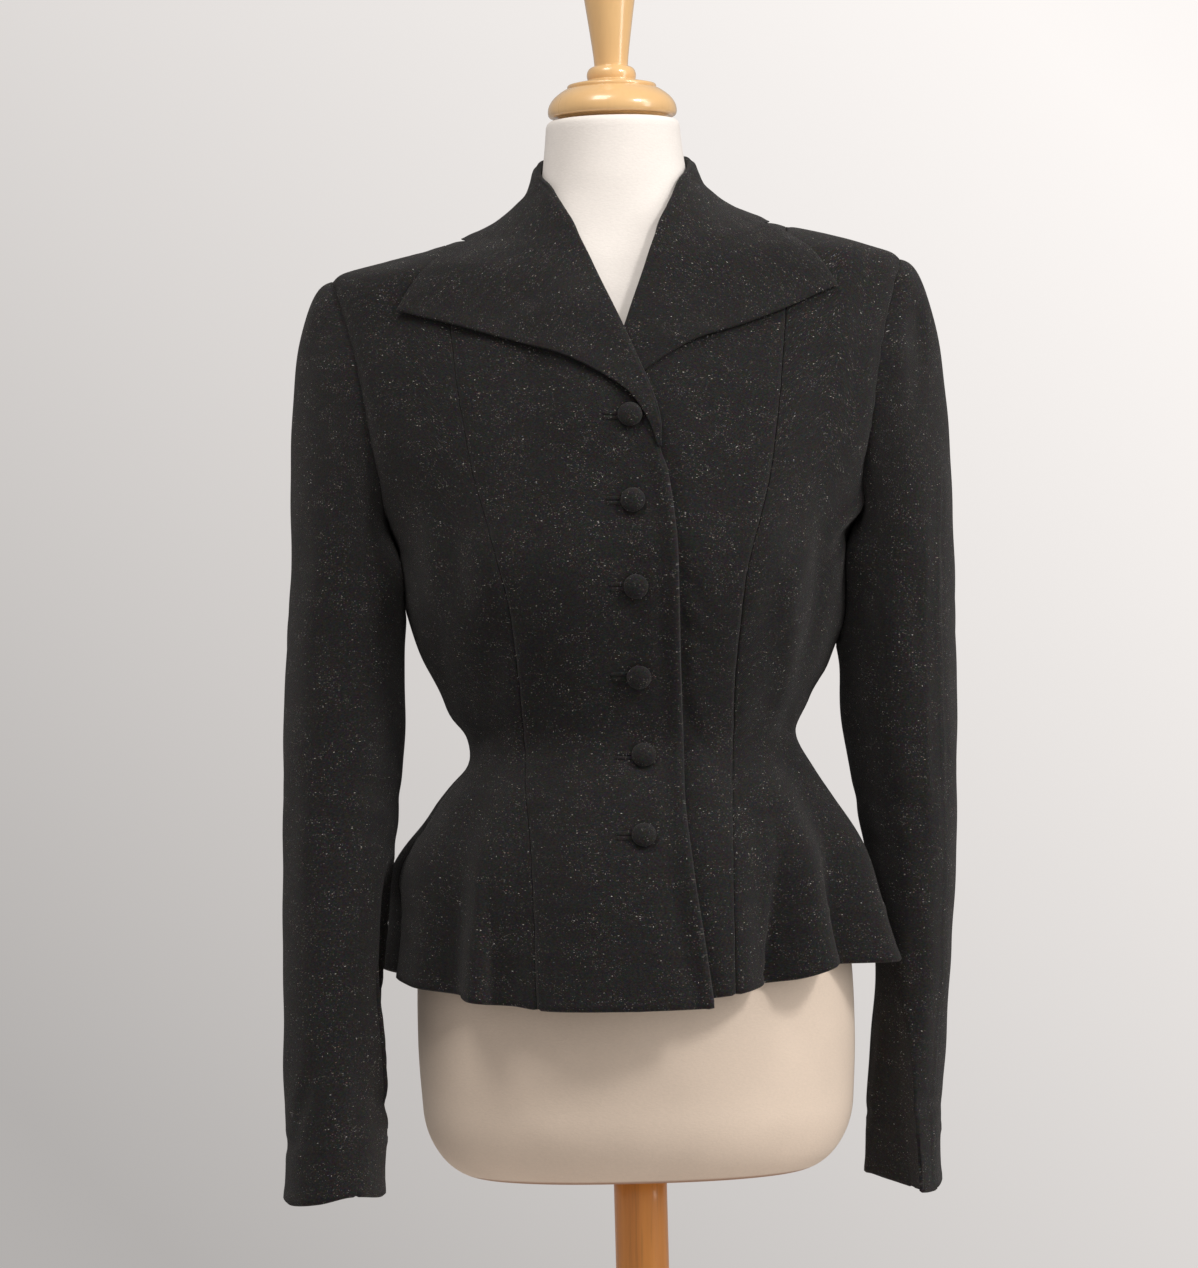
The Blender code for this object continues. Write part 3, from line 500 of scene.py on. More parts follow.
# Slow waves that keep the cloth from being dead flat: their lengths across and along, and their start.
Wave = namedtuple("Wave", "across along start")
WAVES = (
    Wave(0.061, 0.113, 0.3),
    Wave(-0.047, 0.079, 1.9),
    Wave(0.180, 0.052, 4.1),
    Wave(0.033, -0.150, 2.6),
)
WAVE_RISE = 0.0007
SLEEVE_WAVE_SHIFT = 0.7
COLLAR_WAVES = 0.5

# Seams draw the cloth in; turned edges double it, and the lap's edge rolls. A fine seam hardly shows, and
# the head of a sleeve joins the armhole where the body's panels have drawn it in already.
Edges = namedtuple("Edges", "first last top bottom")
EDGE_PLACES = Edges(np.s_[:, 0], np.s_[:, -1], np.s_[-1], np.s_[0])
INSIDE_PLACES = Edges(np.s_[:, 1], np.s_[:, -2], np.s_[-2], np.s_[1])
SEAM, FINE, JOINED = "seam", "fine", "joined"
TURNED, ROLLED, PRESSED, TAPERED, HIDDEN = "turned", "rolled", "pressed", "tapered", "hidden"
# How far each edge stops short of its seam, how far its rim leads out again and lies below the middle of
# the wall as a share of it, and how far the cloth sinks beside it.
Joint = namedtuple("Joint", "draw lead below sink")
JOINTS = {
    SEAM: Joint(draw=0.00040, lead=0.00047, below=0.30, sink=0.0008),
    FINE: Joint(draw=0.0, lead=0.00010, below=0.30, sink=0.0002),
    JOINED: Joint(draw=0.00040, lead=0.00047, below=0.30, sink=0.0),
}
SEAM_WIDTH = 0.0045
PUCKER = (0.0155, 0.0235)
PUCKER_SHARE = 0.30
Fullness = namedtuple("Fullness", "extra width")
FULLNESS = {TURNED: Fullness(0.0009, 0.0065), ROLLED: Fullness(0.0019, 0.0052)}
PRESSED_SHARE = 0.75
SHOULDER_PRESSED_SHARE = 0.50
PRESSED_HEIGHTS = (1.380, 1.400)
PRESSED_WIDTH = 0.006
ROLL_ENDS = (1.268, 1.250)
TAPER_END = 0.30
TAPER_REACH = 0.020
ROLL_DIP = 0.0011
ROLL_DIP_AT = 0.0115
ROLL_DIP_WIDTH = 0.0045
# The armhole lies in a groove, deeper than the other seams.
ARMHOLE_SINK = 0.0014
ARMHOLE_WIDTH = 0.0070
ARMHOLE_START = (UNDERARM, 1.250)
# The left front dips beside the lap's edge.
LAP_DIP = 0.0019
LAP_DIP_AT = 0.0028
LAP_DIP_WIDTH = 0.0050
ALLOWANCE = 0.035
ALLOWANCE_RISE = 0.0007
ALLOWANCE_WIDTH = 0.0030
RIM_ROUND = 0.80
TINY = 1e-9

Button = namedtuple("Button", "out height")
BUTTONS = (
    Button(0.0062, 1.2845),
    Button(0.0068, 1.2310),
    Button(0.0075, 1.1770),
    Button(0.0075, 1.1200),
    Button(0.0092, 1.0660),
    Button(0.0080, 1.0150),
)
BUTTON_SEAT = 0.0012
BUTTON_SIDES = 40
BUTTON_DIMPLE = 0.0019
BUTTON_DIMPLE_WIDTH = 0.0115
BUTTON_UV_STEP = np.array([0.31, 0.17])
BUTTON_PROFILE = (
    (0.0000, 0.0067),
    (0.0030, 0.0064),
    (0.0057, 0.0053),
    (0.0075, 0.0037),
    (0.0081, 0.0022),
    (0.0077, 0.0010),
    (0.0062, 0.0001),
    (0.0022, 0.0000),
    (0.0016, -0.0006),
    (0.0015, -0.0014),
    (0.0000, -0.0014),
)
BUTTONHOLE_REACH = (-0.0180, 0.0035)
LIP_OFFSET = 0.00150
LIP_HALF_HEIGHT = 0.00135
LIP_HALF_DEPTH = 0.00080
LIP_RISE = 0.00005
LIP_TAPER = 0.0022
LIP_END = 0.02
LIP_UV_STEP = np.array([0.13, 0.29])
LIP_STEPS = 30
LIP_SIDES = 14

CAP_PROFILE = (
    (0.0000, 0.1120),
    (0.0090, 0.1105),
    (0.0155, 0.1060),
    (0.0183, 0.0985),
    (0.0184, 0.0900),
    (0.0175, 0.0830),
    (0.0145, 0.0620),
    (0.0118, 0.0420),
    (0.0112, 0.0345),
    (0.0113, 0.0338),
    (0.0132, 0.0336),
    (0.0155, 0.0318),
    (0.0165, 0.0288),
    (0.0163, 0.0262),
    (0.0158, 0.0249),
    (0.0162, 0.0244),
    (0.0286, 0.0220),
    (0.0297, 0.0212),
    (0.0297, 0.0196),
    (0.0294, 0.0190),
    (0.0312, 0.0188),
    (0.0352, 0.0163),
    (0.0397, 0.0125),
    (0.0425, 0.0080),
    (0.0432, 0.0040),
    (0.0426, 0.0010),
    (0.0405, 0.0000),
    (0.0365, 0.0004),
    (0.0355, -0.0020),
    (0.0000, -0.0022),
)
CAP_SEAT = 1.4908
CAP_SHIFT = 0.003
POLE_RADIUS = 0.0177
POLE_CHAMFER = 0.0012
POLE_GAP = 0.00045
POLE_ROWS = 40
BASE_PROFILE = (
    (0.0000, 0.0520),
    (0.0240, 0.0520),
    (0.0275, 0.0490),
    (0.0280, 0.0320),
    (0.0330, 0.0270),
    (0.1450, 0.0220),
    (0.1560, 0.0190),
    (0.1600, 0.0130),
    (0.1600, 0.0015),
    (0.1590, 0.0000),
    (0.0000, 0.0000),
)
# Under the jacket the jersey keeps clear of the cloth's folds.
FORM_SLACK = 0.0030
FORM_SLACK_STARTS = (0.990, 1.040)
FORM_SLACK_ENDS = (1.395, 1.360)
FORM_SIDES = 120
FORM_ROWS = 180
TURNED_SIDES = 72
CORNER_CUT = 0.25
SAME_PLACE = 1e-6
NO_LENGTH = 1e-7
# The wearer's left shoulder sits higher than the right one: how far the cloth and the form in it move up at
# each distance from the centre line, and the heights between which that grows and ends.
Hang = namedtuple("Hang", "out rise")
HANG = (
    Hang(-0.240, -0.0022),
    Hang(-0.130, -0.0022),
    Hang(-0.110, -0.0005),
    Hang(-0.095, -0.0024),
    Hang(-0.060, -0.0036),
    Hang(-0.030, 0.0000),
    Hang(0.030, 0.0000),
    Hang(0.060, 0.0010),
    Hang(0.090, 0.0040),
    Hang(0.115, 0.0060),
    Hang(0.150, 0.0058),
    Hang(0.180, 0.0040),
    Hang(0.240, 0.0040),
)
HANG_STARTS = (1.335, 1.400)
HANG_ENDS = (1.472, 1.448)

# How far the jersey draws in as it turns over the top of the neck.
NECK_TURN = ((1.4842, 0.0), (1.4862, 0.0006), (1.4876, 0.0020), (1.4882, 0.0044), (1.4883, 0.0070))
# The turn under the hips: how high it starts above the underside, and how far it draws in.
HIP_TURN_RISE = 0.046
HIP_TURN_INSET = 0.034
HIP_TURN_ROWS = 24
# Rings that close the underside and the top of the neck, as shares of the last ring beside them.
UNDERSIDE_RINGS = (0.0, 0.5, 0.96)
NECK_TOP_RINGS = (0.9, 0.0)

# The cut of each cloth piece as it shows: width, length and area.
Cut = namedtuple("Cut", "width length area")

IMAGE = (1198, 1268)
CAMERA_DISTANCE = 3.0
CAMERA_HEIGHT = 1.146
CAMERA_ROLL = -1.5
PIXELS_PER_METRE = 1500.0
AXIS_PIXEL = 626.0
SENSOR = 36.0


def curve(rows, column, at):
    """Reads a column of a table between its rows, smoothly and with no overshoot."""
    key = np.array([row[0] for row in rows])
    value = np.array([getattr(row, column) for row in rows])
    at = np.clip(at, key[0], key[-1])
    step = np.diff(key)
    slope = np.diff(value) / step
    tangent = np.concatenate([slope[:1], (slope[:-1] + slope[1:]) / 2, slope[-1:]])
    turning = slope[:-1] * slope[1:] <= 0
    tangent[1:-1][turning] = 0.0
    limit = 3 * np.minimum(np.abs(slope[:-1]), np.abs(slope[1:]))
    tangent[1:-1] = np.clip(tangent[1:-1], -limit, limit)
    i = np.clip(np.searchsorted(key, at, side="right") - 1, 0, len(step) - 1)
    t = (at - key[i]) / step[i]
    rise = value[i] * (1 + 2 * t) * (1 - t) ** 2 + value[i + 1] * t**2 * (3 - 2 * t)
    bend = tangent[i] * t * (1 - t) ** 2 - tangent[i + 1] * t**2 * (1 - t)
    return rise + bend * step[i]


def ease(low, high, at):
    """Runs smoothly from 0 at low to 1 at high."""
    t = np.clip((at - low) / (high - low), 0.0, 1.0)
    return t * t * (3 - 2 * t)


def mix(a, b, share):
    return a + (b - a) * share


def bell(off):
    """Falls smoothly from 1 at 0 to almost nothing at 2, to either side."""
    return np.exp(-(off**2))


def unit(vector):
    return vector / np.linalg.norm(vector, axis=-1, keepdims=True)


def mirrored(grid):
    return grid * np.array([-1.0, 1.0, 1.0])


def ring_radius(levels, angle, height):
    deep = np.where(
        np.cos(angle) > 0, curve(levels, "front", height), curve(levels, "back", height)
    )
    across = np.abs(np.sin(angle)) / curve(levels, "half_width", height)
    along = np.abs(np.cos(angle)) / deep
    radius = (across**ROUNDNESS + along**ROUNDNESS) ** (-1 / ROUNDNESS)
    return radius + bust_lift(radius * np.sin(angle), np.cos(angle), height)


def bust_lift(x, facing, height):
    level = bell((height - BUST.height) / BUST.tall)
    near = bell((np.abs(x) - BUST.out) / BUST.wide)
    return BUST.lift * near * level * np.maximum(facing, 0.0)


def torso_radius(angle, height):
    fall = np.clip((FLUTE_TOP - height) / (FLUTE_TOP - HEM_SIDE), 0.0, FLUTE_LIMIT)
    turned = np.degrees(np.arctan2(np.sin(angle), np.cos(angle)))
    flute = curve(FLUTES, "reach", turned) * fall**FLUTE_GROWTH
    return ring_radius(TORSO, angle, height) + flute


def off_centre(angle, height):
    """How far a point of the torso is from the centre line, to the wearer's left."""
    return torso_radius(angle, height) * np.sin(angle)


def ring_point(radius, angle, height):
    return np.stack([radius * np.sin(angle), -radius * np.cos(angle), height], axis=-1)


def torso(angle, height, lift=0.0):
    """Points on the middle of the jacket's cloth, moved out by lift."""
    angle, height, lift = np.broadcast_arrays(angle, height, lift)
    point = ring_point(torso_radius(angle, height), angle, height)
    if not np.any(lift):
        return point
    return point + torso_normal(angle, height) * lift[..., None]


def torso_normal(angle, height):
    round_the_ring = torso(angle + ANGLE_STEP, height) - torso(angle - ANGLE_STEP, height)
    up_the_body = torso(angle, height + PLACE_STEP) - torso(angle, height - PLACE_STEP)
    return unit(np.cross(round_the_ring, up_the_body))


def clear_of_torso(point, gap, press=0.0):
    """Moves points out of the torso until each is at least gap from the middle of its cloth.

    Points further out are drawn in by the share that press gives.
    """
    for _ in range(CLEARING_PASSES):
        depth = torso_depth(point)
        beside = [torso_depth(point + PLACE_STEP * axis) for axis in np.eye(3)]
        slope = (np.stack(beside, axis=-1) - depth[..., None]) / PLACE_STEP
        steep = np.linalg.norm(slope, axis=-1)
        short = gap - depth / steep
        short = np.where(short < 0, short * press, short)
        point = point + slope / steep[..., None] * short[..., None]
    return point


def torso_depth(point):
    x, y, z = np.moveaxis(point, -1, 0)
    return np.hypot(x, y) - torso_radius(np.arctan2(x, -y), z)


def angle_at(x, height, back=False):
    """The angle on the torso's front, or back, that lies this far from the centre line."""
    x, height = np.broadcast_arrays(np.asarray(x, float), np.asarray(height, float))
    low = np.full(x.shape, math.pi if back else -math.pi / 2)
    high = np.full(x.shape, math.pi / 2)
    for _ in range(HALVINGS):
        middle = (low + high) / 2
        short = off_centre(middle, height) < x
        low = np.where(short, middle, low)
        high = np.where(short, high, middle)
    return (low + high) / 2


def ridge_height(x):
    """Height of the shoulder line this far from the centre."""
    heights = np.linspace(NECK_POINT, SHOULDER, RIDGE_STEPS)
    return np.interp(x, curve(TORSO, "half_width", heights), heights)


def row_heights():
    """Rows of the panels at the side seam, hem to shoulder point."""
    peplum = WAIST - (WAIST - HEM_SIDE) * np.linspace(1, 0, PEPLUM_ROWS)
    bodice = WAIST + (UNDERARM - WAIST) * np.linspace(0, 1, BODICE_ROWS)
    turn = np.linspace(0, math.pi, ARMHOLE_STEPS + 1)
    armhole = UNDERARM + (SHOULDER - UNDERARM) * (1 - np.cos(turn)) / 2
    return np.concatenate([peplum, bodice[1:], armhole[1:]])


def princess_angle(height):
    return angle_at(curve(PRINCESS, "out", height), height)


def side_angle(height, back=False):
    """The side seam up to the underarm, then the armhole."""
    armhole = angle_at(curve(ARMHOLE, "out", height), height, back)
    return np.where(height > UNDERARM, armhole, math.pi / 2)


def neck_edge_angle(height, half):
    """The front's inner edge above the break, which the lapel folds over, up to the neck point."""
    rows = [
        Seam(row.neck_height, row.neck_out + neck_shift(row.neck_height, half.shift))
        for row in half.wing
        if row.neck_height <= NECK_POINT and not row.neck_back
    ]
    return angle_at(curve(rows, "out", height), height)


def lapped_edge_angle(height):
    """The edge of the right front, as an angle on the wearer's right."""
    below = angle_at(-curve(LAP_EDGE, "out", height), height)
    above = neck_edge_angle(height, RIGHT_HALF)
    return mix(below, above, ease(*RIGHT_BREAK, height))


def under_edge_angle(height):
    """The edge of the left front, hidden under the right one."""
    below = angle_at(np.full_like(height, -UNDERLAP), height)
    above = neck_edge_angle(height, LEFT_HALF)
    return mix(below, above, ease(*LEFT_BREAK, height))


def columns_by_armhole(height, back=False):
    """Where the columns beside the side seam head for: they start to leave it before the armhole does."""
    turned = side_angle(np.maximum(height, UNDERARM + ARMHOLE_TURN), back)
    return mix(math.pi / 2, turned, ease(UNDERARM - ARMHOLE_LEAD, UNDERARM, height))


def panel(inner, outer, top, columns, back=False, side=-1):
    """Angles and heights of a panel's rows between two seams, hem to top edge.

    Below the underarm the columns share the angle between the seams. Above it they share the distance
    from the centre line, and end at the places along the top edge that top gives.
    """
    across = np.linspace(0, 1, columns + 1)
    level = np.full(columns + 1, HEM_SIDE)
    hem_angle = mix(inner(level), outer(level), across)
    turned = np.degrees(np.abs(hem_angle))
    shift = LEFT_HEM_SHIFT if side > 0 else RIGHT_HEM_SHIFT
    hem = curve(HEM, "height", turned) + curve(shift, "height", turned)
    share = ((row_heights() - HEM_SIDE) / (SHOULDER - HEM_SIDE))[:, None]
    top_out, top_height = top(across)
    height = hem + share * (top_height - hem)
    first, last = inner(height[:, :1]), outer(height[:, -1:])
    from_angle = columns_by_armhole(height[:, :1], back) if back else first
    to_angle = columns_by_armhole(height[:, -1:]) if outer is side_angle else last
    start, end = off_centre(from_angle, height[:, :1]), off_centre(to_angle, height[:, -1:])
    spread = (top_out - top_out[0]) / (top_out[-1] - top_out[0])
    out = mix(start, end, mix(across, spread, ease(*TOP_OF_PANEL, share)))
    upper = ease(*UPPER_PANEL, share)
    angle = mix(mix(from_angle, to_angle, across), angle_at(out, height, back), upper)
    angle[:, :1], angle[:, -1:] = first, last
    return angle, height


def centre_front_top(across):
    out = mix(curve(TORSO, "half_width", NECK_POINT), PRINCESS[-1].out, across)
    return out, ridge_height(out)


def side_front_top(across):
    out = mix(PRINCESS[-1].out, ARMHOLE[-1].out, across)
    return out, ridge_height(out)


def back_top(across):
    """The shoulder seam to the neck point, then round the back neck."""
    corner = BACK_NECK_COLUMN / BACK_COLUMNS
    neck = curve(TORSO, "half_width", NECK_POINT)
    shoulder = mix(ARMHOLE[-1].out, neck, np.minimum(across / corner, 1))
    round_neck = np.maximum((across - corner) / (1 - corner), 0)
    out = shoulder * np.cos(round_neck * math.pi / 2)
    return out, ridge_height(shoulder) + (BACK_NECK - NECK_POINT) * round_neck


def lap_lift(x, height):
    return curve(LAP_LIFT, "lift", height) * ease(*LAP_RISE, x)


def right_front_points(angle, height, lift=0.0):
    """The right front, lifted where it laps over the left one."""
    return torso(angle, height, lap_lift(off_centre(angle, height), height) + lift)


def armhole_loop(side):
    """Points round an armhole as its seam draws them in, drawn on the left.

    They run from the shoulder down the front to the underarm, and up the back.
    """
    height = row_heights()[-1 - np.arange(ARMHOLE_STEPS + 1)]
    front = armhole_points(side_angle(height), height, side)
    back = armhole_points(side_angle(height, back=True), height, side)
    return np.concatenate([front, back[-2:0:-1]])


def armhole_points(angle, height, side):
    sink = JOINTS[SEAM].sink + ARMHOLE_SINK * ease(*ARMHOLE_START, height)
    return torso(angle, height, torso_relief(angle * side, height) - sink)


def sleeve_grid(rings, cuff_edge, side):
    """Rows of points round a sleeve, drawn on the left, from the cuff up to the cap and the armhole."""
    head = armhole_loop(side)
    turn = np.linspace(0, 2 * math.pi, len(head), endpoint=False)
    under = (1 - np.cos(turn)) / 2
    wave = curve(cuff_edge, "height", np.degrees(turn))
    heights = np.linspace(rings[0].height, rings[-1].height, RING_ROWS)
    lower = [sleeve_ring(rings, height, turn, wave) for height in heights]
    reach = np.linalg.norm(lower[-1] - head, axis=-1, keepdims=True)
    leave = np.stack([1 - CAP_TUCK * under, -CAP_BULGE * np.sin(turn), -under], axis=-1)
    leave = unit(leave) * reach * CAP_SWING
    arrive = np.array([0.0, 0.0, -1.0]) * reach
    steps = np.linspace(1, 0, CAP_ROWS)[1:]
    cap = [hermite(head, leave, lower[-1], arrive, t) for t in steps]
    return smoothed(np.array(lower + cap), SLEEVE_SMOOTHING), turn


def sleeve_ring(rings, height, turn, wave):
    """One ring of a sleeve, with the waves of the cuff's edge fading upwards."""
    at = np.full(turn.shape, height)
    x = curve(rings, "out", at) + curve(rings, "half_width", at) * np.cos(turn)
    y = curve(rings, "back", at) - curve(rings, "half_depth", at) * np.sin(turn)
    fade = 1 - ease(0.0, CUFF_WAVE_REACH, height - rings[0].height)
    return np.stack([x, y, at + wave * fade], axis=-1)


def hermite(start, leave, end, arrive, t):
    rise = start * (1 + 2 * t) * (1 - t) ** 2 + end * t**2 * (3 - 2 * t)
    return rise + leave * t * (1 - t) ** 2 - arrive * t**2 * (1 - t)


def smoothed(grid, passes):
    """Evens out the rows between the first and the last."""
    grid = np.array(grid)
    for _ in range(passes):
        grid[1:-1] = (grid[:-2] + 2 * grid[1:-1] + grid[2:]) / 4
    return grid


def wing_rows(half):
    """Places along the collar, as numbers of its table's rows, with one at the wing's point."""
    lapel = np.linspace(0, half.point, LAPEL_ROWS)
    fall = np.linspace(half.point, len(half.wing) - 1, COLLAR_ROWS)
    return np.concatenate([lapel, fall[1:]])


def along_wing(half, values, at):
    """Reads a value given for each row of the collar's table, with a corner at the wing's point."""
    rows = [Seam(i, value) for i, value in enumerate(values)]
    lapel = curve(rows[: half.point + 1], "out", at)
    fall = curve(rows[half.point :], "out", at)
    return np.where(at <= half.point, lapel, fall)


def wing_edge(half, kind, at):
    """Angles and heights along the neck edge or the outer edge."""
    out = np.array([getattr(row, f"{kind}_out") for row in half.wing])
    height = np.array([getattr(row, f"{kind}_height") for row in half.wing])
    back = np.array([getattr(row, f"{kind}_back") for row in half.wing])
    if kind == "neck":
        out = np.where(back, out, out + neck_shift(height, half.shift))
    else:
        near_tip = bell((np.arange(len(half.wing)) - half.point) / TIP_ROWS)
        out = out + half.shift * ease(*LOWER_EDGE, height)
        height = height + near_tip * half.tip_rise + ease(*RAISED_EDGE, height) * half.edge_rise
    angle = np.where(back, angle_at(out, height, True), angle_at(out, height))
    return along_wing(half, angle, at), along_wing(half, height, at)


def neck_shift(height, shift):
    return shift * np.maximum(NECK_POINT - height, 0) / SHIFT_REACH


def stand_sections(angle, height, start, stand, lifted):
    """The stand from the neck edge to the fold, with the directions up and out of the fold.

    On the lapel it is only a turn across the front's edge; round the neck it follows the torso upwards.
    """
    neck = torso(angle, height, lifted(angle, height))
    out = torso_normal(angle, height)
    across = unit(np.cross(out, unit(np.gradient(neck, axis=0))))
    across = across * np.where(across[:, 2:3] < 0, -1, 1)
    standing = ease(*STAND_GROWS, stand)[:, None]

    def raised(share):
        rise = start + stand * share
        upright = torso(angle, height + rise, -STAND_LEAN * share)
        return mix(neck + across * rise[:, None], upright, standing)

    top = height + start + stand
    upward = unit(torso(angle, top + RISE_STEP) - torso(angle, top - RISE_STEP))
    up = unit(mix(across, upward, standing))
    out = unit(mix(out, torso_normal(angle, top), standing))
    radius = mix(LAPEL_FOLD, NECK_FOLD, standing)
    return [raised(share) for share in np.linspace(0, 1, STAND_STEPS)], up, out, radius


def collar_grid(half, lifted):
    """One half of the collar, drawn on the wearer's left: the stand, the fold and the fall on the body."""
    at = wing_rows(half)
    angle, height = wing_edge(half, "neck", at)
    edge_angle, edge_height = wing_edge(half, "edge", at)
    stand = along_wing(half, [row.stand for row in half.wing], at)
    full = tail_share(half, at)[:, None]
    start = mix(TAIL_START, STAND_START, full[:, 0])
    rise, up, out, radius = stand_sections(angle, height, start, stand, lifted)
    radius = radius * mix(TAIL_FOLD, 1.0, full)
    on_shoulder = shoulder_share(half, at)
    lay = mix(TAIL_LAY, mix(LAY, SHOULDER_LAY, on_shoulder)[:, None], full)
    bends = np.linspace(0, math.pi, FOLD_STEPS)[1:]
    fold = [rise[-1] + radius * (up * math.sin(b) + out * (1 - math.cos(b))) for b in bends]
    edge = torso(edge_angle, edge_height, lay[:, 0] + lifted(edge_angle, edge_height))
    leave = mix(FALL_LEAVE_LAPEL, FALL_LEAVE_NECK, ease(*STAND_GROWS, stand))[:, None]
    steps = np.linspace(0, 1, FALL_STEPS + 1)[1:]
    fall = np.stack([fall_point(fold[-1], up * leave, edge, t) for t in steps], axis=1)
    x, y, z = np.moveaxis(fall, -1, 0)
    on_shoulder = on_shoulder[:, None]
    gap = lay + NECK_EASE * ease(*NECK_EASE_HEIGHTS, z)
    gap = mix(gap, SHOULDER_EDGE_LAY, on_shoulder * ease(*SHOULDER_EDGE, steps))
    gap = gap + lifted(np.arctan2(x, -y), z)
    fall = clear_of_torso(fall, gap, on_shoulder * ease(*SHOULDER_PRESS, steps))
    return np.concatenate([np.stack([*rise, *fold], axis=1), fall], axis=1)


def tail_share(half, at):
    """Runs from 0 at the end of the lapel's tail to 1 where the lapel proper begins."""
    rows = half.point - POINT_ROW
    return ease(0.0, rows, at) if rows else np.ones(at.shape)


def shoulder_share(half, at):
    """Is 1 on the rows of the collar that lie over the shoulder, and 0 on the lapel and at the back."""
    past_point = at - half.point
    return ease(*SHOULDER_ROWS, past_point) * ease(*BACK_ROWS, past_point)


def collar_groove(points, half):
    """How full the groove under the collar's edge is at points on the wearer's left, from 0 to 1."""
    at = wing_rows(half)
    edge = torso(*wing_edge(half, "edge", at))
    neck = torso(*wing_edge(half, "neck", at))
    middle = edge + unit(neck - edge) * COLLAR_GROOVE_INSET
    groove = np.zeros(points.shape[:2])
    for place, full in zip(middle, shoulder_share(half, at)):
        away = np.linalg.norm(points - place, axis=-1) / COLLAR_GROOVE_WIDTH
        groove = np.maximum(groove, full * bell(away))
    return groove


def fall_point(over, up, edge, t):
    """A section of the fall: it leaves the fold downwards and runs out to the edge."""
    reach = np.linalg.norm(edge - over, axis=-1, keepdims=True)
    first = over - up * reach
    second = edge + (over - edge) * FALL_ARRIVE
    weights = ((1 - t) ** 3, 3 * t * (1 - t) ** 2, 3 * t**2 * (1 - t), t**3)
    return sum(w * p for w, p in zip(weights, (over, first, second, edge)))


def crease_relief(creases, angle, height, unroll):
    """How far the listed folds move the cloth: each a soft trough or ridge between two low lips."""
    relief = np.zeros(np.broadcast(angle, height).shape)
    for crease in creases:
        turned = (np.degrees(angle) - crease.angle + 180) % 360 - 180
        across = np.radians(turned) * unroll
        up = height - crease.height
        tilt = math.radians(crease.tilt)
        along = (across * math.cos(tilt) + up * math.sin(tilt)) / crease.reach
        off = (up * math.cos(tilt) - across * math.sin(tilt)) / crease.width
        section = (1 - CREASE_LIP * off**2) * bell(off)
        relief += crease.depth * section * bell(along)
    return relief


def wave_relief(across, along):
    total = sum(np.sin(2 * math.pi * (across / w.across + along / w.along) + w.start) for w in WAVES)
    return WAVE_RISE * total / len(WAVES)


def torso_relief(angle, height):
    folds = crease_relief(TORSO_CREASES, angle, height, TORSO_UNROLL) + pleat_relief(angle, height)
    return folds + wave_relief(angle * TORSO_UNROLL, height) - button_dimples(angle, height)


def pleat_relief(angle, height):
    grown = ease(*PLEAT_HEIGHTS, height)
    fallen = np.clip((PLEAT_HEIGHTS[0] - height) / (PLEAT_HEIGHTS[0] - PLEAT_HEIGHTS[1]), 0.0, 1.0)
    relief = np.zeros(np.broadcast(angle, height).shape)
    for pleat in PLEATS:
        off = (angle - np.radians(mix(pleat.top, pleat.hem, fallen))) * PEPLUM_UNROLL
        relief -= pleat.depth * grown * ease(*PLEAT_DROP, off) * (1 - ease(0.0, pleat.rise, off))
    return relief


def button_dimples(angle, height):
    """The cloth is drawn in round each button."""
    x = angle * TORSO_UNROLL
    spread = BUTTON_DIMPLE_WIDTH**2
    near = [np.exp(-((x - button.out) ** 2 + (height - button.height) ** 2) / spread) for button in BUTTONS]
    return BUTTON_DIMPLE * sum(near)


def lap_dip(angle, height):
    """The left front sinks beside the edge that laps over it."""
    off = (off_centre(angle, height) - curve(LAP_EDGE, "out", height) - LAP_DIP_AT) / LAP_DIP_WIDTH
    return -LAP_DIP * bell(off) * ease(*ROLL_ENDS, height)


def sleeve_relief(creases, turn, height):
    folds = crease_relief(creases, turn, height, SLEEVE_UNROLL)
    return folds + wave_relief(turn * SLEEVE_UNROLL + SLEEVE_WAVE_SHIFT, height)


def welt_relief(turn, height):
    """The narrow ridge down the left sleeve, with a shallow trough beside it."""
    middle = np.radians(curve(SLEEVE_WELT, "angle", height))
    off = (turn - middle) * SLEEVE_UNROLL / WELT_WIDTH
    section = bell(off) - WELT_TROUGH * bell(off - WELT_TROUGH_AT)
    return WELT_RISE * section * ease(*WELT_FADE, height)


def lengths(grid):
    """How far each point is along its row and up its column."""
    across = np.linalg.norm(np.diff(grid, axis=1), axis=-1)
    up = np.linalg.norm(np.diff(grid, axis=0), axis=-1)
    across = np.pad(np.cumsum(across, axis=1), ((0, 0), (1, 0)))
    up = np.pad(np.cumsum(up, axis=0), ((1, 0), (0, 0)))
    return across, up


def edge_distances(grid):
    """How far each point is from the four edges, and how far along each of them."""
    across, up = lengths(grid)
    return Edges((across, up), (across[:, -1:] - across, up), (up[-1:] - up, across), (up, across))


def edge_relief(grid, edges):
    """Seams draw the cloth in, the lap's edge rolls, and the allowance of a hem shows as a faint ridge."""
    relief = np.zeros(grid.shape[:2])
    for kind, (distance, along) in zip(edges, edge_distances(grid)):
        if kind in JOINTS:
            waves = [np.sin(2 * math.pi * along / length) for length in PUCKER]
            sink = JOINTS[kind].sink * (1 + PUCKER_SHARE * sum(waves))
            relief -= sink * bell(distance / SEAM_WIDTH)
        if kind == ROLLED:
            dip = ROLL_DIP * bell((distance - ROLL_DIP_AT) / ROLL_DIP_WIDTH)
            relief += fullness(kind, distance, grid) / 2 - dip * ease(*ROLL_ENDS, grid[..., 2])
    if edges.bottom == TURNED:
        distance = edge_distances(grid).bottom[0]
        relief += ALLOWANCE_RISE * bell((distance - ALLOWANCE) / ALLOWANCE_WIDTH)
    return relief


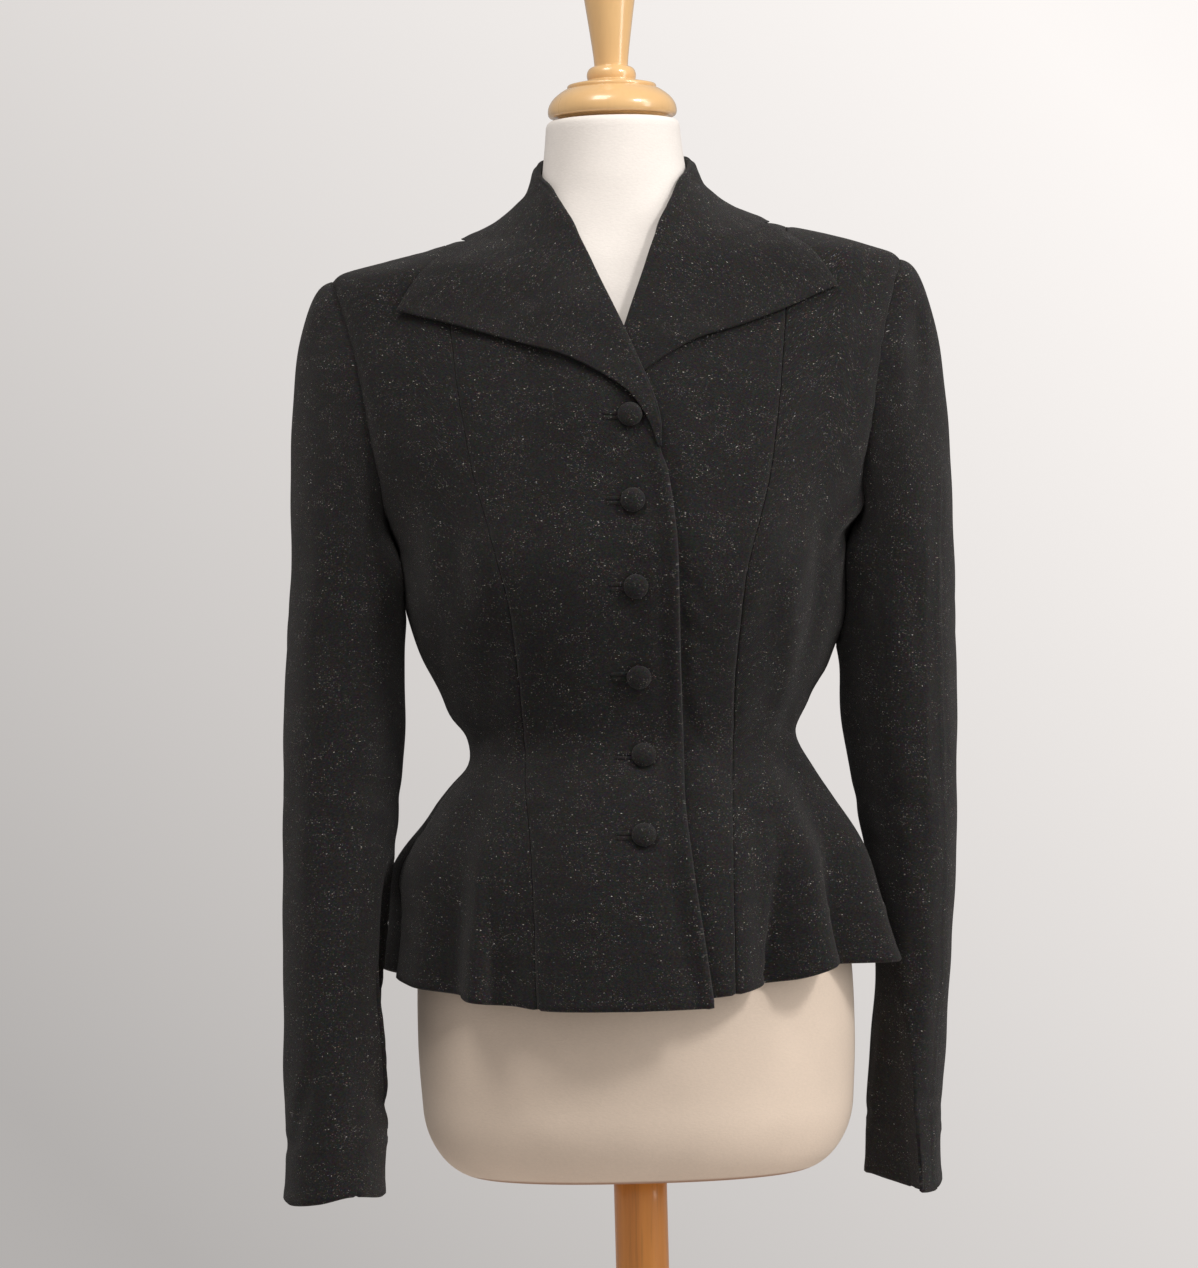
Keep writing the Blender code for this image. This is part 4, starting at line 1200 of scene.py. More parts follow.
def fullness(kind, distance, grid):
    """How much a turned or rolled edge thickens the wall; the roll ends where the lapel begins."""
    extra = FULLNESS[kind].extra * np.exp(-((distance / FULLNESS[kind].width) ** 4))
    return extra * ease(*ROLL_ENDS, grid[..., 2]) if kind == ROLLED else extra


def wall(grid, edges):
    """The cloth's thickness, doubled softly at its turned edges and thinner at the lapel's tail."""
    thick = np.full(grid.shape[:2], CLOTH)
    for kind, (distance, _) in zip(edges, edge_distances(grid)):
        if kind in FULLNESS:
            thick = np.maximum(thick, CLOTH + fullness(kind, distance, grid))
        if kind == PRESSED:
            share = mix(PRESSED_SHARE, SHOULDER_PRESSED_SHARE, ease(*PRESSED_HEIGHTS, grid[..., 2]))
            thick = thick * mix(share, 1.0, ease(0.0, PRESSED_WIDTH, distance))
    if edges.bottom == TAPERED:
        distance = edge_distances(grid).bottom[0]
        thick = thick * mix(TAPER_END, 1.0, ease(0.0, TAPER_REACH, distance))
    return thick


def drawn_back(grid, edges):
    """Draws the edges back from their seams, so that the rims meet on the seam line."""
    grid = np.array(grid)
    for kind, edge, inside in zip(edges, EDGE_PLACES, INSIDE_PLACES):
        if kind in JOINTS:
            grid[edge] += unit(grid[inside] - grid[edge]) * JOINTS[kind].draw
    return grid


def sheet_normals(grid):
    return unit(np.cross(np.gradient(grid, axis=1), np.gradient(grid, axis=0)))


def cloth_piece(name, grid, relief, edges, flip=False):
    """A cloth piece: the grid with its relief, walled to both sides.

    Flip is for grids whose columns run the other way.
    """
    if flip:
        grid = grid[:, ::-1]
        relief = relief[:, ::-1]
        edges = edges._replace(first=edges.last, last=edges.first)
    across, up = lengths(grid)
    middle = across[:, across.shape[1] // 2][:, None]
    uv = np.stack([across - middle, up], axis=-1)
    grid = drawn_back(grid, edges)
    relief = relief + edge_relief(grid, edges)
    grid = grid + sheet_normals(grid) * relief[..., None]
    points, faces, source = shell(grid, wall(grid, edges), edges)
    piece = mesh_piece(f"{name}_cloth", points, faces, TWEED, uv.reshape(-1, 2)[source])
    mark_fine_seams(piece, edges, grid.shape[:2])
    return settled(piece, "tweed", name)


def mark_fine_seams(piece, edges, shape):
    """Keeps the shading even up to a fine seam, so that its rim doesn't show."""
    index = np.arange(shape[0] * shape[1]).reshape(shape)
    on_seam = np.zeros(len(piece.data.vertices), dtype=bool)
    for kind, edge in zip(edges, EDGE_PLACES):
        if kind == FINE:
            on_seam[index[edge]] = True
    ends = np.zeros(len(piece.data.edges) * 2, dtype=np.int32)
    piece.data.edges.foreach_get("vertices", ends)
    sharp = on_seam[ends].reshape(-1, 2).all(axis=1)
    piece.data.attributes.new("sharp_edge", "BOOLEAN", "EDGE").data.foreach_set("value", sharp)


def shell(grid, thick, edges):
    """Points and faces of a closed wall with a rounded rim, and the grid point behind each point."""
    rows, columns = grid.shape[:2]
    count = rows * columns
    half = sheet_normals(grid) * thick[..., None] / 2
    index = np.arange(count).reshape(rows, columns)
    loop = np.concatenate([index[0, :-1], index[:-1, -1], index[-1, :0:-1], index[:0:-1, 0]])
    rim_points = rim(grid, half, thick, edges).reshape(-1, 3)[loop]
    points = np.concatenate([(grid + half).reshape(-1, 3), (grid - half).reshape(-1, 3), rim_points])
    corners = (index[:-1, :-1], index[:-1, 1:], index[1:, 1:], index[1:, :-1])
    outer = np.stack(corners, axis=-1).reshape(-1, 4)
    inner = outer[:, ::-1] + count
    edge = 2 * count + np.arange(len(loop))
    after, edge_after = np.roll(loop, -1), np.roll(edge, -1)
    front = np.stack([after, loop, edge, edge_after], axis=-1)
    back = np.stack([loop + count, after + count, edge_after, edge], axis=-1)
    source = np.concatenate([index.ravel(), index.ravel(), loop])
    return points, np.concatenate([outer, inner, front, back]), source


def rim(grid, half, thick, edges):
    """The middle of the rim: round on a free edge, narrow and deep in a seam."""
    lead = thick / 2 * RIM_ROUND
    below = np.zeros(thick.shape)
    for kind, edge in zip(edges, EDGE_PLACES):
        if kind in JOINTS:
            lead[edge] = JOINTS[kind].lead
            below[edge] = JOINTS[kind].below * 2
    return grid + rim_lead(grid) * lead[..., None] - half * below[..., None]


def rim_lead(grid):
    """The way out of the sheet at its edges."""
    lead = np.zeros(grid.shape)
    for edge, inside in zip(EDGE_PLACES, INSIDE_PLACES):
        lead[edge] += unit(grid[edge] - grid[inside])
    return lead / np.maximum(np.linalg.norm(lead, axis=-1, keepdims=True), TINY)


def hung(points):
    """Lets the shoulders hang unevenly."""
    x, _, z = points.T
    rise = curve(HANG, "rise", x) * ease(*HANG_STARTS, z) * ease(*HANG_ENDS, z)
    return points + np.outer(rise, (0.0, 0.0, 1.0))


def mesh_piece(name, points, faces, finish, uv=None):
    mesh = bpy.data.meshes.new(name)
    mesh.from_pydata(hung(np.asarray(points)).tolist(), [], np.asarray(faces).tolist())
    mesh.shade_smooth()
    if uv is not None:
        corners = np.zeros(len(mesh.loops), dtype=np.int32)
        mesh.loops.foreach_get("vertex_index", corners)
        mesh.uv_layers.new(name=CLOTH_UV).data.foreach_set("uv", uv[corners].astype(np.float32).ravel())
    mesh.materials.append(finish)
    piece = bpy.data.objects.new(name, mesh)
    bpy.context.scene.collection.objects.link(piece)
    return piece


def settled(piece, slot, *nodes):
    """Puts a piece on the one body, in place of its solids."""
    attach(piece, "root")
    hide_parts(*nodes)
    return piece


def torso_piece(name, side, angle, height, edges, lapped=False):
    angle = angle * side
    points = right_front_points(angle, height) if lapped else torso(angle, height)
    relief = torso_relief(angle, height)
    if name == "front_centre_left":
        relief = relief + lap_dip(angle, height)
    if name.startswith("front_side"):
        relief = relief - armhole_groove(edge_distances(points).last[0], height)
    if name.startswith("back"):
        relief = relief - armhole_groove(edge_distances(points).first[0], height)
    if side > 0:
        groove = collar_groove(points, LEFT_HALF)
    else:
        groove = collar_groove(mirrored(points), RIGHT_HALF)
    relief = mix(relief, -COLLAR_GROOVE, groove)
    return cloth_piece(name, points, relief, edges, flip=side < 0)


def armhole_groove(distance, height):
    return ARMHOLE_SINK * bell(distance / ARMHOLE_WIDTH) * ease(*ARMHOLE_START, height)


def add_fronts():
    angle, height = panel(lapped_edge_angle, princess_angle, centre_front_top, RIGHT_FRONT_COLUMNS)
    edges = Edges(ROLLED, SEAM, SEAM, TURNED)
    yield torso_piece("front_centre_right", -1, angle, height, edges, lapped=True)
    angle, height = panel(under_edge_angle, princess_angle, centre_front_top, LEFT_FRONT_COLUMNS, side=1)
    yield torso_piece("front_centre_left", 1, angle, height, Edges(HIDDEN, SEAM, SEAM, TURNED))
    for name, side in (("front_side_right", -1), ("front_side_left", 1)):
        angle, height = panel(princess_angle, side_angle, side_front_top, SIDE_FRONT_COLUMNS, side=side)
        yield torso_piece(name, side, angle, height, Edges(SEAM, SEAM, SEAM, TURNED))


def add_backs():
    def back_side_angle(height):
        return side_angle(height, back=True)

    def centre_back_angle(height):
        return np.full_like(height, math.pi)

    for name, side in (("back_right", -1), ("back_left", 1)):
        angle, height = panel(back_side_angle, centre_back_angle, back_top, BACK_COLUMNS, True, side)
        yield torso_piece(name, side, angle, height, Edges(SEAM, SEAM, SEAM, TURNED))


def add_sleeves():
    halves = (
        ("right", -1, SLEEVE_RIGHT, CUFF_EDGE_RIGHT, SLEEVE_CREASES_RIGHT),
        ("left", 1, SLEEVE_LEFT, CUFF_EDGE_LEFT, SLEEVE_CREASES_LEFT),
    )
    for name, side, rings, cuff_edge, creases in halves:
        whole, turn = sleeve_grid(rings, cuff_edge, side)
        relief = sleeve_relief(creases, turn[None, :], whole[..., 2])
        if side > 0:
            relief = relief + welt_relief(turn[None, :], whole[..., 2])
        up = lengths(whole)[1]
        relief = relief * ease(0.0, HEAD_FADE, up[-1:] - up)
        whole = beside_torso(whole + sheet_normals(whole[:, ::-1])[:, ::-1] * relief[..., None], side)
        whole = whole * np.array([side, 1.0, 1.0])
        under = np.arange(FRONT_SLEEVE_SEAM, BACK_SLEEVE_SEAM + 1)
        top = np.arange(BACK_SLEEVE_SEAM - len(turn), FRONT_SLEEVE_SEAM + 1)
        edges = Edges(FINE, FINE, JOINED, TURNED)
        for piece, columns in (("under", under), ("top", top)):
            flat = np.zeros((len(whole), len(columns)))
            yield cloth_piece(f"sleeve_{piece}_{name}", whole[:, columns], flat, edges, flip=side > 0)


def beside_torso(points, side):
    """Keeps a sleeve, drawn on the left, just off the side of the body below the armhole."""
    x, y, z = np.moveaxis(points, -1, 0)
    angle = np.arctan2(x, -y)
    gap = CLOTH + SLEEVE_OFF + torso_relief(angle * side, z)
    moved = clear_of_torso(points, gap)
    return mix(points, moved, ease(*SLEEVE_OFF_HEIGHTS, z)[..., None])


def add_collar():
    def lifted_by_lap(angle, height):
        return lap_lift(-off_centre(angle, height), height)

    def not_lifted(angle, height):
        return np.zeros(np.broadcast(angle, height).shape)

    right = mirrored(collar_grid(RIGHT_HALF, lifted_by_lap))
    left = collar_grid(LEFT_HALF, not_lifted)
    right_edges = Edges(HIDDEN, PRESSED, SEAM, TAPERED)
    left_edges = Edges(HIDDEN, PRESSED, SEAM, HIDDEN)
    yield collar_piece("collar_right", right, RIGHT_HALF, right_edges, flip=True)
    yield collar_piece("collar_left", left, LEFT_HALF, left_edges, flip=False)


def collar_piece(name, grid, half, edges, flip):
    """A half of the collar, whose lower edge stands a little off the front."""
    at = wing_rows(half)[:, None]
    lift = mix(UPPER_LIFT, LOWER_LIFT, ease(half.point + 1, half.point - 1, at))
    lift = lift * (tail_share(half, at) if half is RIGHT_HALF else ease(*COVERED_ROWS, at))
    across, up = lengths(grid)
    lift = lift * bell((across[:, -1:] - across) / LIFT_WIDTH) * ease(0.0, LIFT_WIDTH, across)
    covered = 1 - ease(*COVERED_ROWS, at) if half is LEFT_HALF else 0.0
    sunk = COVERED_SINK * covered * ease(0.0, LIFT_WIDTH / 2, across)
    return cloth_piece(name, grid, wave_relief(across, up) * COLLAR_WAVES + lift - sunk, edges, flip)


def rounded(profile, passes=2):
    """Cuts the corners of a profile, which keeps its ends."""
    points = np.array(profile)
    for _ in range(passes):
        shares = (CORNER_CUT, 1 - CORNER_CUT)
        cut = np.stack([mix(points[:-1], points[1:], share) for share in shares], axis=1)
        points = np.concatenate([points[:1], cut.reshape(-1, 2)[1:-1], points[-1:]])
    return points


def lathe(profile, sides):
    """Rings of points turned from a profile of radii and heights."""
    turn = np.linspace(0, 2 * math.pi, sides, endpoint=False)
    radius, height = profile[:, :1], profile[:, 1:]
    level = np.broadcast_to(height, (len(profile), sides))
    return np.stack([radius * np.cos(turn), radius * np.sin(turn), level], axis=-1)


def tube_faces(rows, columns):
    index = np.arange(rows * columns).reshape(rows, columns)
    beside = np.roll(index, -1, axis=1)
    return np.stack([index[1:], beside[1:], beside[:-1], index[:-1]], axis=-1).reshape(-1, 4)


def turned_piece(name, rings, finish, uv=None):
    """A closed piece of rings, whose first and last ring are points."""
    faces = tube_faces(*rings.shape[:2])
    piece = mesh_piece(name, rings.reshape(-1, 3), faces, finish, uv)
    return reshaped(piece, join_points)


def reshaped(piece, change):
    """Changes a piece's mesh, and turns its faces outwards."""
    shape = bmesh.new()
    shape.from_mesh(piece.data)
    change(shape)
    bmesh.ops.recalc_face_normals(shape, faces=shape.faces)
    shape.to_mesh(piece.data)
    shape.free()
    return piece


def join_points(shape):
    bmesh.ops.remove_doubles(shape, verts=shape.verts, dist=SAME_PLACE)
    bmesh.ops.dissolve_degenerate(shape, dist=NO_LENGTH, edges=shape.edges)


def close_ends(shape):
    bmesh.ops.holes_fill(shape, edges=[edge for edge in shape.edges if edge.is_boundary], sides=0)


def on_right_front(x, height, lift):
    """A point above the outer face of the right front, and the way out of it."""
    angle = angle_at(x, height)
    lift = lift + CLOTH / 2 + torso_relief(angle, height)
    return right_front_points(angle, height, lift), torso_normal(angle, height)


def add_buttons():
    profile = rounded(BUTTON_PROFILE)
    rings = lathe(profile, BUTTON_SIDES)
    arc = np.pad(np.cumsum(np.linalg.norm(np.diff(profile, axis=0), axis=-1)), (1, 0))
    way = unit(lathe(np.array([[1.0, 0.0]]), BUTTON_SIDES)[0, :, :2])
    flat = (arc[:, None, None] * way).reshape(-1, 2)
    for number, button in enumerate(BUTTONS, 1):
        seat, out = on_right_front(np.array(button.out), np.array(button.height), BUTTON_SEAT)
        turn = np.array(Vector((0, 0, 1)).rotation_difference(Vector(out)).to_matrix())
        uv = flat + BUTTON_UV_STEP * number
        piece = turned_piece(f"button_{number}_cover", rings @ turn.T + seat, TWEED, uv)
        yield settled(piece, "tweed", f"button_{number}")


def add_buttonholes():
    for number, button in enumerate(BUTTONS, 1):
        lips = [buttonhole_lip(button, side) for side in (1, -1)]
        points = np.concatenate([points.reshape(-1, 3) for points, _ in lips])
        faces = tube_faces(LIP_STEPS, LIP_SIDES)
        faces = np.concatenate([faces, faces + LIP_STEPS * LIP_SIDES])
        uv = np.concatenate([uv.reshape(-1, 2) for _, uv in lips]) + LIP_UV_STEP * number
        piece = mesh_piece(f"buttonhole_{number}_welts", points, faces, TWEED, uv)
        yield settled(reshaped(piece, close_ends), "tweed", f"buttonhole_{number}")


def buttonhole_lip(button, side):
    """One rolled lip of a bound buttonhole, lying along the right front."""
    start, end = (button.out + reach for reach in BUTTONHOLE_REACH)
    x = np.linspace(start, end, LIP_STEPS)
    near_end = np.minimum(x - start, end - x) / LIP_TAPER
    thick = np.sqrt(np.clip(near_end * (2 - near_end), LIP_END, None))
    thick = np.where(near_end > 1, 1.0, thick)[:, None]
    turn = np.linspace(0, 2 * math.pi, LIP_SIDES, endpoint=False)
    rise = LIP_HALF_HEIGHT * np.cos(turn) * thick + side * LIP_OFFSET
    lift = LIP_RISE + LIP_HALF_DEPTH * np.sin(turn) * thick
    across = np.broadcast_to(x[:, None], rise.shape)
    points, _ = on_right_front(across, button.height + rise, lift)
    uv = np.stack([rise + lift, across], axis=-1)
    return points, uv


def add_form():
    """The form's torso, closed at its ends by rings that shrink to a point, and its turned woods."""
    turn = np.linspace(0, 2 * math.pi, FORM_SIDES, endpoint=False)
    bends = np.linspace(math.pi / 2, 0, HIP_TURN_ROWS)[:-1]
    hips = FORM[0].height + HIP_TURN_RISE
    hip_turn = [
        (hips - HIP_TURN_RISE * math.sin(bend), HIP_TURN_INSET * (1 - math.cos(bend))) for bend in bends
    ]
    sides = [(height, 0.0) for height in np.linspace(hips, NECK_TURN[0][0], FORM_ROWS)]
    rows = [form_ring(turn, height, inset) for height, inset in (*hip_turn, *sides, *NECK_TURN[1:])]
    under = [rows[0] * np.array([share, share, 1.0]) for share in UNDERSIDE_RINGS]
    over = [rows[-1] * np.array([share, share, 1.0]) for share in NECK_TOP_RINGS]
    rings = np.array(under + rows + over)[::-1]
    yield settled(turned_piece("form_torso_jersey", rings, JERSEY), "jersey", "form_torso")
    cap = lathe(rounded(CAP_PROFILE, 1), TURNED_SIDES) + np.array([0.0, CAP_SHIFT, CAP_SEAT])
    yield settled(turned_piece("form_neck_cap_wood", cap, BLOND_WOOD), "blond_wood", "form_neck_cap")
    base = lathe(rounded(BASE_PROFILE, 1), TURNED_SIDES)
    yield settled(turned_piece("form_base_wood", base, BROWN_WOOD), "brown_wood", "form_base")
    pole = lathe(pole_profile(), TURNED_SIDES)
    yield settled(turned_piece("form_pole_wood", pole, BROWN_WOOD), "brown_wood", "form_pole")


def form_ring(turn, height, inset):
    at = np.full(FORM_SIDES, height)
    slack = FORM_SLACK * ease(*FORM_SLACK_STARTS, at) * ease(*FORM_SLACK_ENDS, at)
    return ring_point(ring_radius(FORM, turn, at) - inset - slack, turn, at)


def pole_profile():
    top = FORM[0].height - POLE_GAP
    bottom = BASE_PROFILE[0][1] + POLE_GAP
    inner = POLE_RADIUS - POLE_CHAMFER
    heights = np.linspace(top - POLE_CHAMFER, bottom + POLE_CHAMFER, POLE_ROWS)
    side = [(POLE_RADIUS, height) for height in heights]
    return np.array([(0.0, top), (inner, top), *side, (inner, bottom), (0.0, bottom)])


def new_material(name):
    made = bpy.data.materials.new(name)
    made.use_nodes = True
    shader = made.node_tree.nodes["Principled BSDF"]
    return made, made.node_tree, shader


def add(tree, kind, inputs=None, **settings):
    """A node with its settings, and its inputs set or linked."""
    made = tree.nodes.new(kind)
    for key, value in settings.items():
        setattr(made, key, value)
    inputs = inputs or {}
    for key, value in inputs.items():
        if isinstance(value, bpy.types.NodeSocket):
            tree.links.new(value, made.inputs[key])
        else:
            made.inputs[key].default_value = value
    return made


def maths(tree, operation, first, second=0.0):
    return add(tree, "ShaderNodeMath", {0: first, 1: second}, operation=operation).outputs[0]


def scaled(tree, vector, factors):
    return add(tree, "ShaderNodeVectorMath", {0: vector, 1: factors}, operation="MULTIPLY").outputs[0]


def scaled_and_moved(tree, vector, factor, move):
    inputs = {0: vector, 1: (factor,) * 3, 2: move}
    return add(tree, "ShaderNodeVectorMath", inputs, operation="MULTIPLY_ADD").outputs[0]


def noise(tree, vector, scale=1.0, detail=2.0, roughness=0.5, dimensions="3D", output="Fac"):
    inputs = {"Vector": vector, "Scale": scale, "Detail": detail, "Roughness": roughness}
    return add(tree, "ShaderNodeTexNoise", inputs, noise_dimensions=dimensions).outputs[output]


def remap(tree, value, from_low, from_high, to_low=0.0, to_high=1.0):
    inputs = {0: value, 1: from_low, 2: from_high, 3: to_low, 4: to_high}
    return add(tree, "ShaderNodeMapRange", inputs, clamp=True).outputs[0]


def ramp(tree, value, stops, interpolation="LINEAR"):
    made = add(tree, "ShaderNodeValToRGB", {"Fac": value})
    made.color_ramp.interpolation = interpolation
    elements = made.color_ramp.elements
    while len(elements) < len(stops):
        elements.new(1.0)
    for element, (place, colour) in zip(elements, stops):
        element.position = place
        element.color = (*colour, 1.0)
    return made.outputs["Color"]


def blended(tree, share, first, second, kind="MIX"):
    inputs = {0: share, 6: first, 7: second}
    return add(tree, "ShaderNodeMix", inputs, data_type="RGBA", blend_type=kind).outputs[2]


def link_surface(tree, shader, colour, rough, height, strength, distance):
    """Links a material's colour, roughness and bump to its shader."""
    bump = add(tree, "ShaderNodeBump", {"Strength": strength, "Distance": distance, "Height": height})
    tree.links.new(colour, shader.inputs["Base Color"])
    tree.links.new(rough, shader.inputs["Roughness"])
    tree.links.new(bump.outputs[0], shader.inputs["Normal"])


# The range in which most of a noise lies.
NOISE_RANGE = (0.3, 0.7)

# Flecks of the tweed: size of a cell across and along the cloth, share of cells that hold a fleck, how much
# of its cell a fleck fills, and how bright it is.
Fleck = namedtuple("Fleck", "across along share fill bright")
FLECKS = (
    Fleck(0.0010, 0.0008, 0.220, 0.36, 0.20),
    Fleck(0.0021, 0.0007, 0.034, 0.26, 0.92),
    Fleck(0.0007, 0.0017, 0.014, 0.26, 0.80),
)
FLECK_COLOURS = (
    (0.00, (0.46, 0.44, 0.40)),
    (0.34, (0.33, 0.29, 0.24)),
    (0.55, (0.24, 0.15, 0.13)),
    (0.72, (0.17, 0.19, 0.23)),
    (0.86, (0.55, 0.54, 0.52)),
)
GROUND_COLOURS = (
    (0.34, (0.0080, 0.0080, 0.0086)),
    (0.48, (0.0130, 0.0124, 0.0126)),
    (0.60, (0.0190, 0.0168, 0.0160)),
    (0.72, (0.0150, 0.0165, 0.0200)),
)
GROUND_STRETCH = (1.0, 1.6, 1.0)
GROUND_SCALE = 620.0
YARN = 0.0009
YARN_CELL = (0.0011, 0.0008)
YARN_TINT = 0.9
YARN_TINT_LEAST = (0.55, 0.55, 0.55)
YARN_SHAKE = 0.0009
YARN_SHAKE_SCALE = 260.0
# Flecks lie in clusters: how the clusters are drawn out, and how much they add to a fleck's chance.
CLUSTER_STRETCH = (42.0, 95.0, 1.0)
CLUSTER_RANGE = (0.36, 0.72)
CLUSTER_CHANCE = (-0.95, 1.5)
CHANCE_EDGE = 0.01
FLECK_SIZES = (0.55, 1.15)
FLECK_EDGE = 0.10
FLECK_LEVELS = (0.14, 1.5)
FLECK_BUMP = 0.4
GROUND_BUMP = 1.2
TWEED_ROUGHNESS = (0.86, 0.98)


def tweed():
    made, tree, shader = new_material("tweed_cloth")
    uv = add(tree, "ShaderNodeUVMap", uv_map=CLOTH_UV).outputs["UV"]
    ground = scaled(tree, uv, GROUND_STRETCH)
    ground = noise(tree, ground, GROUND_SCALE, detail=3.0, roughness=0.65, dimensions="2D")
    colour = ramp(tree, ground, GROUND_COLOURS)
    yarns = cells(tree, uv, *YARN_CELL).outputs["Color"]
    tint = scaled_and_moved(tree, yarns, YARN_TINT, YARN_TINT_LEAST)
    colour = blended(tree, 1.0, colour, tint, "MULTIPLY")
    clusters = noise(tree, scaled(tree, uv, CLUSTER_STRETCH), roughness=0.6, dimensions="2D")
    raised = None
    for fleck in FLECKS:
        mask, tone = fleck_layer(tree, uv, clusters, fleck)
        colour = blended(tree, mask, colour, tone)
        raised = mask if raised is None else maths(tree, "MAXIMUM", raised, mask)
    rough = remap(tree, ground, *NOISE_RANGE, *TWEED_ROUGHNESS)
    height = maths(tree, "ADD", weave(tree, uv), maths(tree, "MULTIPLY", raised, FLECK_BUMP))
    height = maths(tree, "ADD", height, maths(tree, "MULTIPLY", ground, GROUND_BUMP))
    link_surface(tree, shader, colour, rough, height, strength=0.55, distance=0.0004)
    shader.inputs["Specular IOR Level"].default_value = 0.18
    shader.inputs["Sheen Weight"].default_value = 0.10
    shader.inputs["Sheen Roughness"].default_value = 0.5
    shader.inputs["Sheen Tint"].default_value = (0.80, 0.78, 0.78, 1.0)
    return made


def cells(tree, uv, across, along):
    place = scaled(tree, uv, (1 / across, 1 / along, 1.0))
    inputs = {"Vector": place, "Scale": 1.0, "Randomness": 1.0}
    return add(tree, "ShaderNodeTexVoronoi", inputs, voronoi_dimensions="2D", feature="F1")


def fleck_layer(tree, uv, clusters, fleck):
    """Where one kind of fleck lies, and its colour."""
    cell = cells(tree, uv, fleck.across, fleck.along)
    drawn = add(tree, "ShaderNodeSeparateColor", {0: cell.outputs["Color"]})
    crowd = remap(tree, clusters, *CLUSTER_RANGE, *[fleck.share * share for share in CLUSTER_CHANCE])
    chance = maths(tree, "ADD", drawn.outputs[0], crowd)
    present = remap(tree, chance, 1 - fleck.share - CHANCE_EDGE, 1 - fleck.share + CHANCE_EDGE)
    size = remap(tree, drawn.outputs[2], 0.0, 1.0, *[fleck.fill * share for share in FLECK_SIZES])
    inside = maths(tree, "SUBTRACT", size, cell.outputs["Distance"])
    shape = remap(tree, inside, 0.0, FLECK_EDGE)
    mask = maths(tree, "MULTIPLY", present, shape)
    tone = ramp(tree, drawn.outputs[1], FLECK_COLOURS, "CONSTANT")
    strength = maths(tree, "MULTIPLY", drawn.outputs[2], drawn.outputs[2])
    strength = remap(tree, strength, 0.0, 1.0, *[fleck.bright * level for level in FLECK_LEVELS])
    tone = blended(tree, 1.0, tone, strength, "MULTIPLY")
    return mask, tone


def weave(tree, uv):
    """The over and under of the yarns, with their lines a little unsteady."""
    shake = noise(tree, uv, YARN_SHAKE_SCALE, detail=1.0, dimensions="2D", output="Color")
    shaken = scaled_and_moved(tree, shake, YARN_SHAKE, uv)
    turns = scaled(tree, shaken, (2 * math.pi / YARN,) * 3)
    waves = add(tree, "ShaderNodeVectorMath", {0: turns}, operation="SINE").outputs[0]
    split = add(tree, "ShaderNodeSeparateXYZ", {0: waves})
    return maths(tree, "MULTIPLY", split.outputs[0], split.outputs[1])


# The jersey is paler at the top, with painted warm shade towards the bottom: its colours, and the heights
# between which they change.
JERSEY_PAINTED_SHADE_LOW = (0.785, 0.654, 0.542, 1.0)
JERSEY_HIGH = (0.850, 0.805, 0.765, 1.0)
JERSEY_PAINTED_SHADE_HEIGHTS = (0.95, 1.33)
KNIT_STRETCH = (420.0, 420.0, 900.0)
KNIT_SHARE = 0.7
KNIT_RANGE = (0.5, 1.2)
KNIT_SHADES = (0.91, 1.03)
CLOUD_SCALE = 14.0
JERSEY_ROUGHNESS = (0.82, 0.95)
# It ends in a brown line along the bottom edge: the heights between which that fades out.
BOTTOM_SEAM = (0.7895, 0.7912)
BOTTOM_SEAM_SHARE = 0.8
BOTTOM_SEAM_COLOUR = (0.30, 0.13, 0.06, 1.0)


def jersey():
    made, tree, shader = new_material("form_jersey")
    place = add(tree, "ShaderNodeTexCoord").outputs["Object"]
    height = add(tree, "ShaderNodeSeparateXYZ", {0: place}).outputs[2]
    # Painted warm shade: the jersey's colour darkens and warms towards the bottom, where the light is
    # dimmer and warmer.
    colour = blended(tree, remap(tree, height, *JERSEY_PAINTED_SHADE_HEIGHTS), JERSEY_PAINTED_SHADE_LOW, JERSEY_HIGH)
    knit = noise(tree, scaled(tree, place, KNIT_STRETCH), roughness=0.6)
    cloudy = noise(tree, place, CLOUD_SCALE, detail=3.0)
    shade = maths(tree, "ADD", maths(tree, "MULTIPLY", knit, KNIT_SHARE), cloudy)
    colour = blended(tree, 1.0, colour, remap(tree, shade, *KNIT_RANGE, *KNIT_SHADES), "MULTIPLY")
    seam = remap(tree, height, *BOTTOM_SEAM, BOTTOM_SEAM_SHARE, 0.0)
    colour = blended(tree, seam, colour, BOTTOM_SEAM_COLOUR)
    rough = remap(tree, knit, *NOISE_RANGE, *JERSEY_ROUGHNESS)
    link_surface(tree, shader, colour, rough, knit, strength=0.30, distance=0.0004)
    shader.inputs["Specular IOR Level"].default_value = 0.2
    shader.inputs["Sheen Weight"].default_value = 0.08
    return made


# The grain of the woods wanders, and is drawn out along Z; its pores are finer and shorter.
DRIFT_STRETCH = (1.0, 1.0, 0.25)
DRIFT_SCALE = 28.0
DRIFT = 0.010
GRAIN_LENGTH = 22
PORES_FINER = 7
PORE_LENGTH = 3
PORE_RANGE = (0.30, 0.46)
GLOSS_CHANGE = 0.10


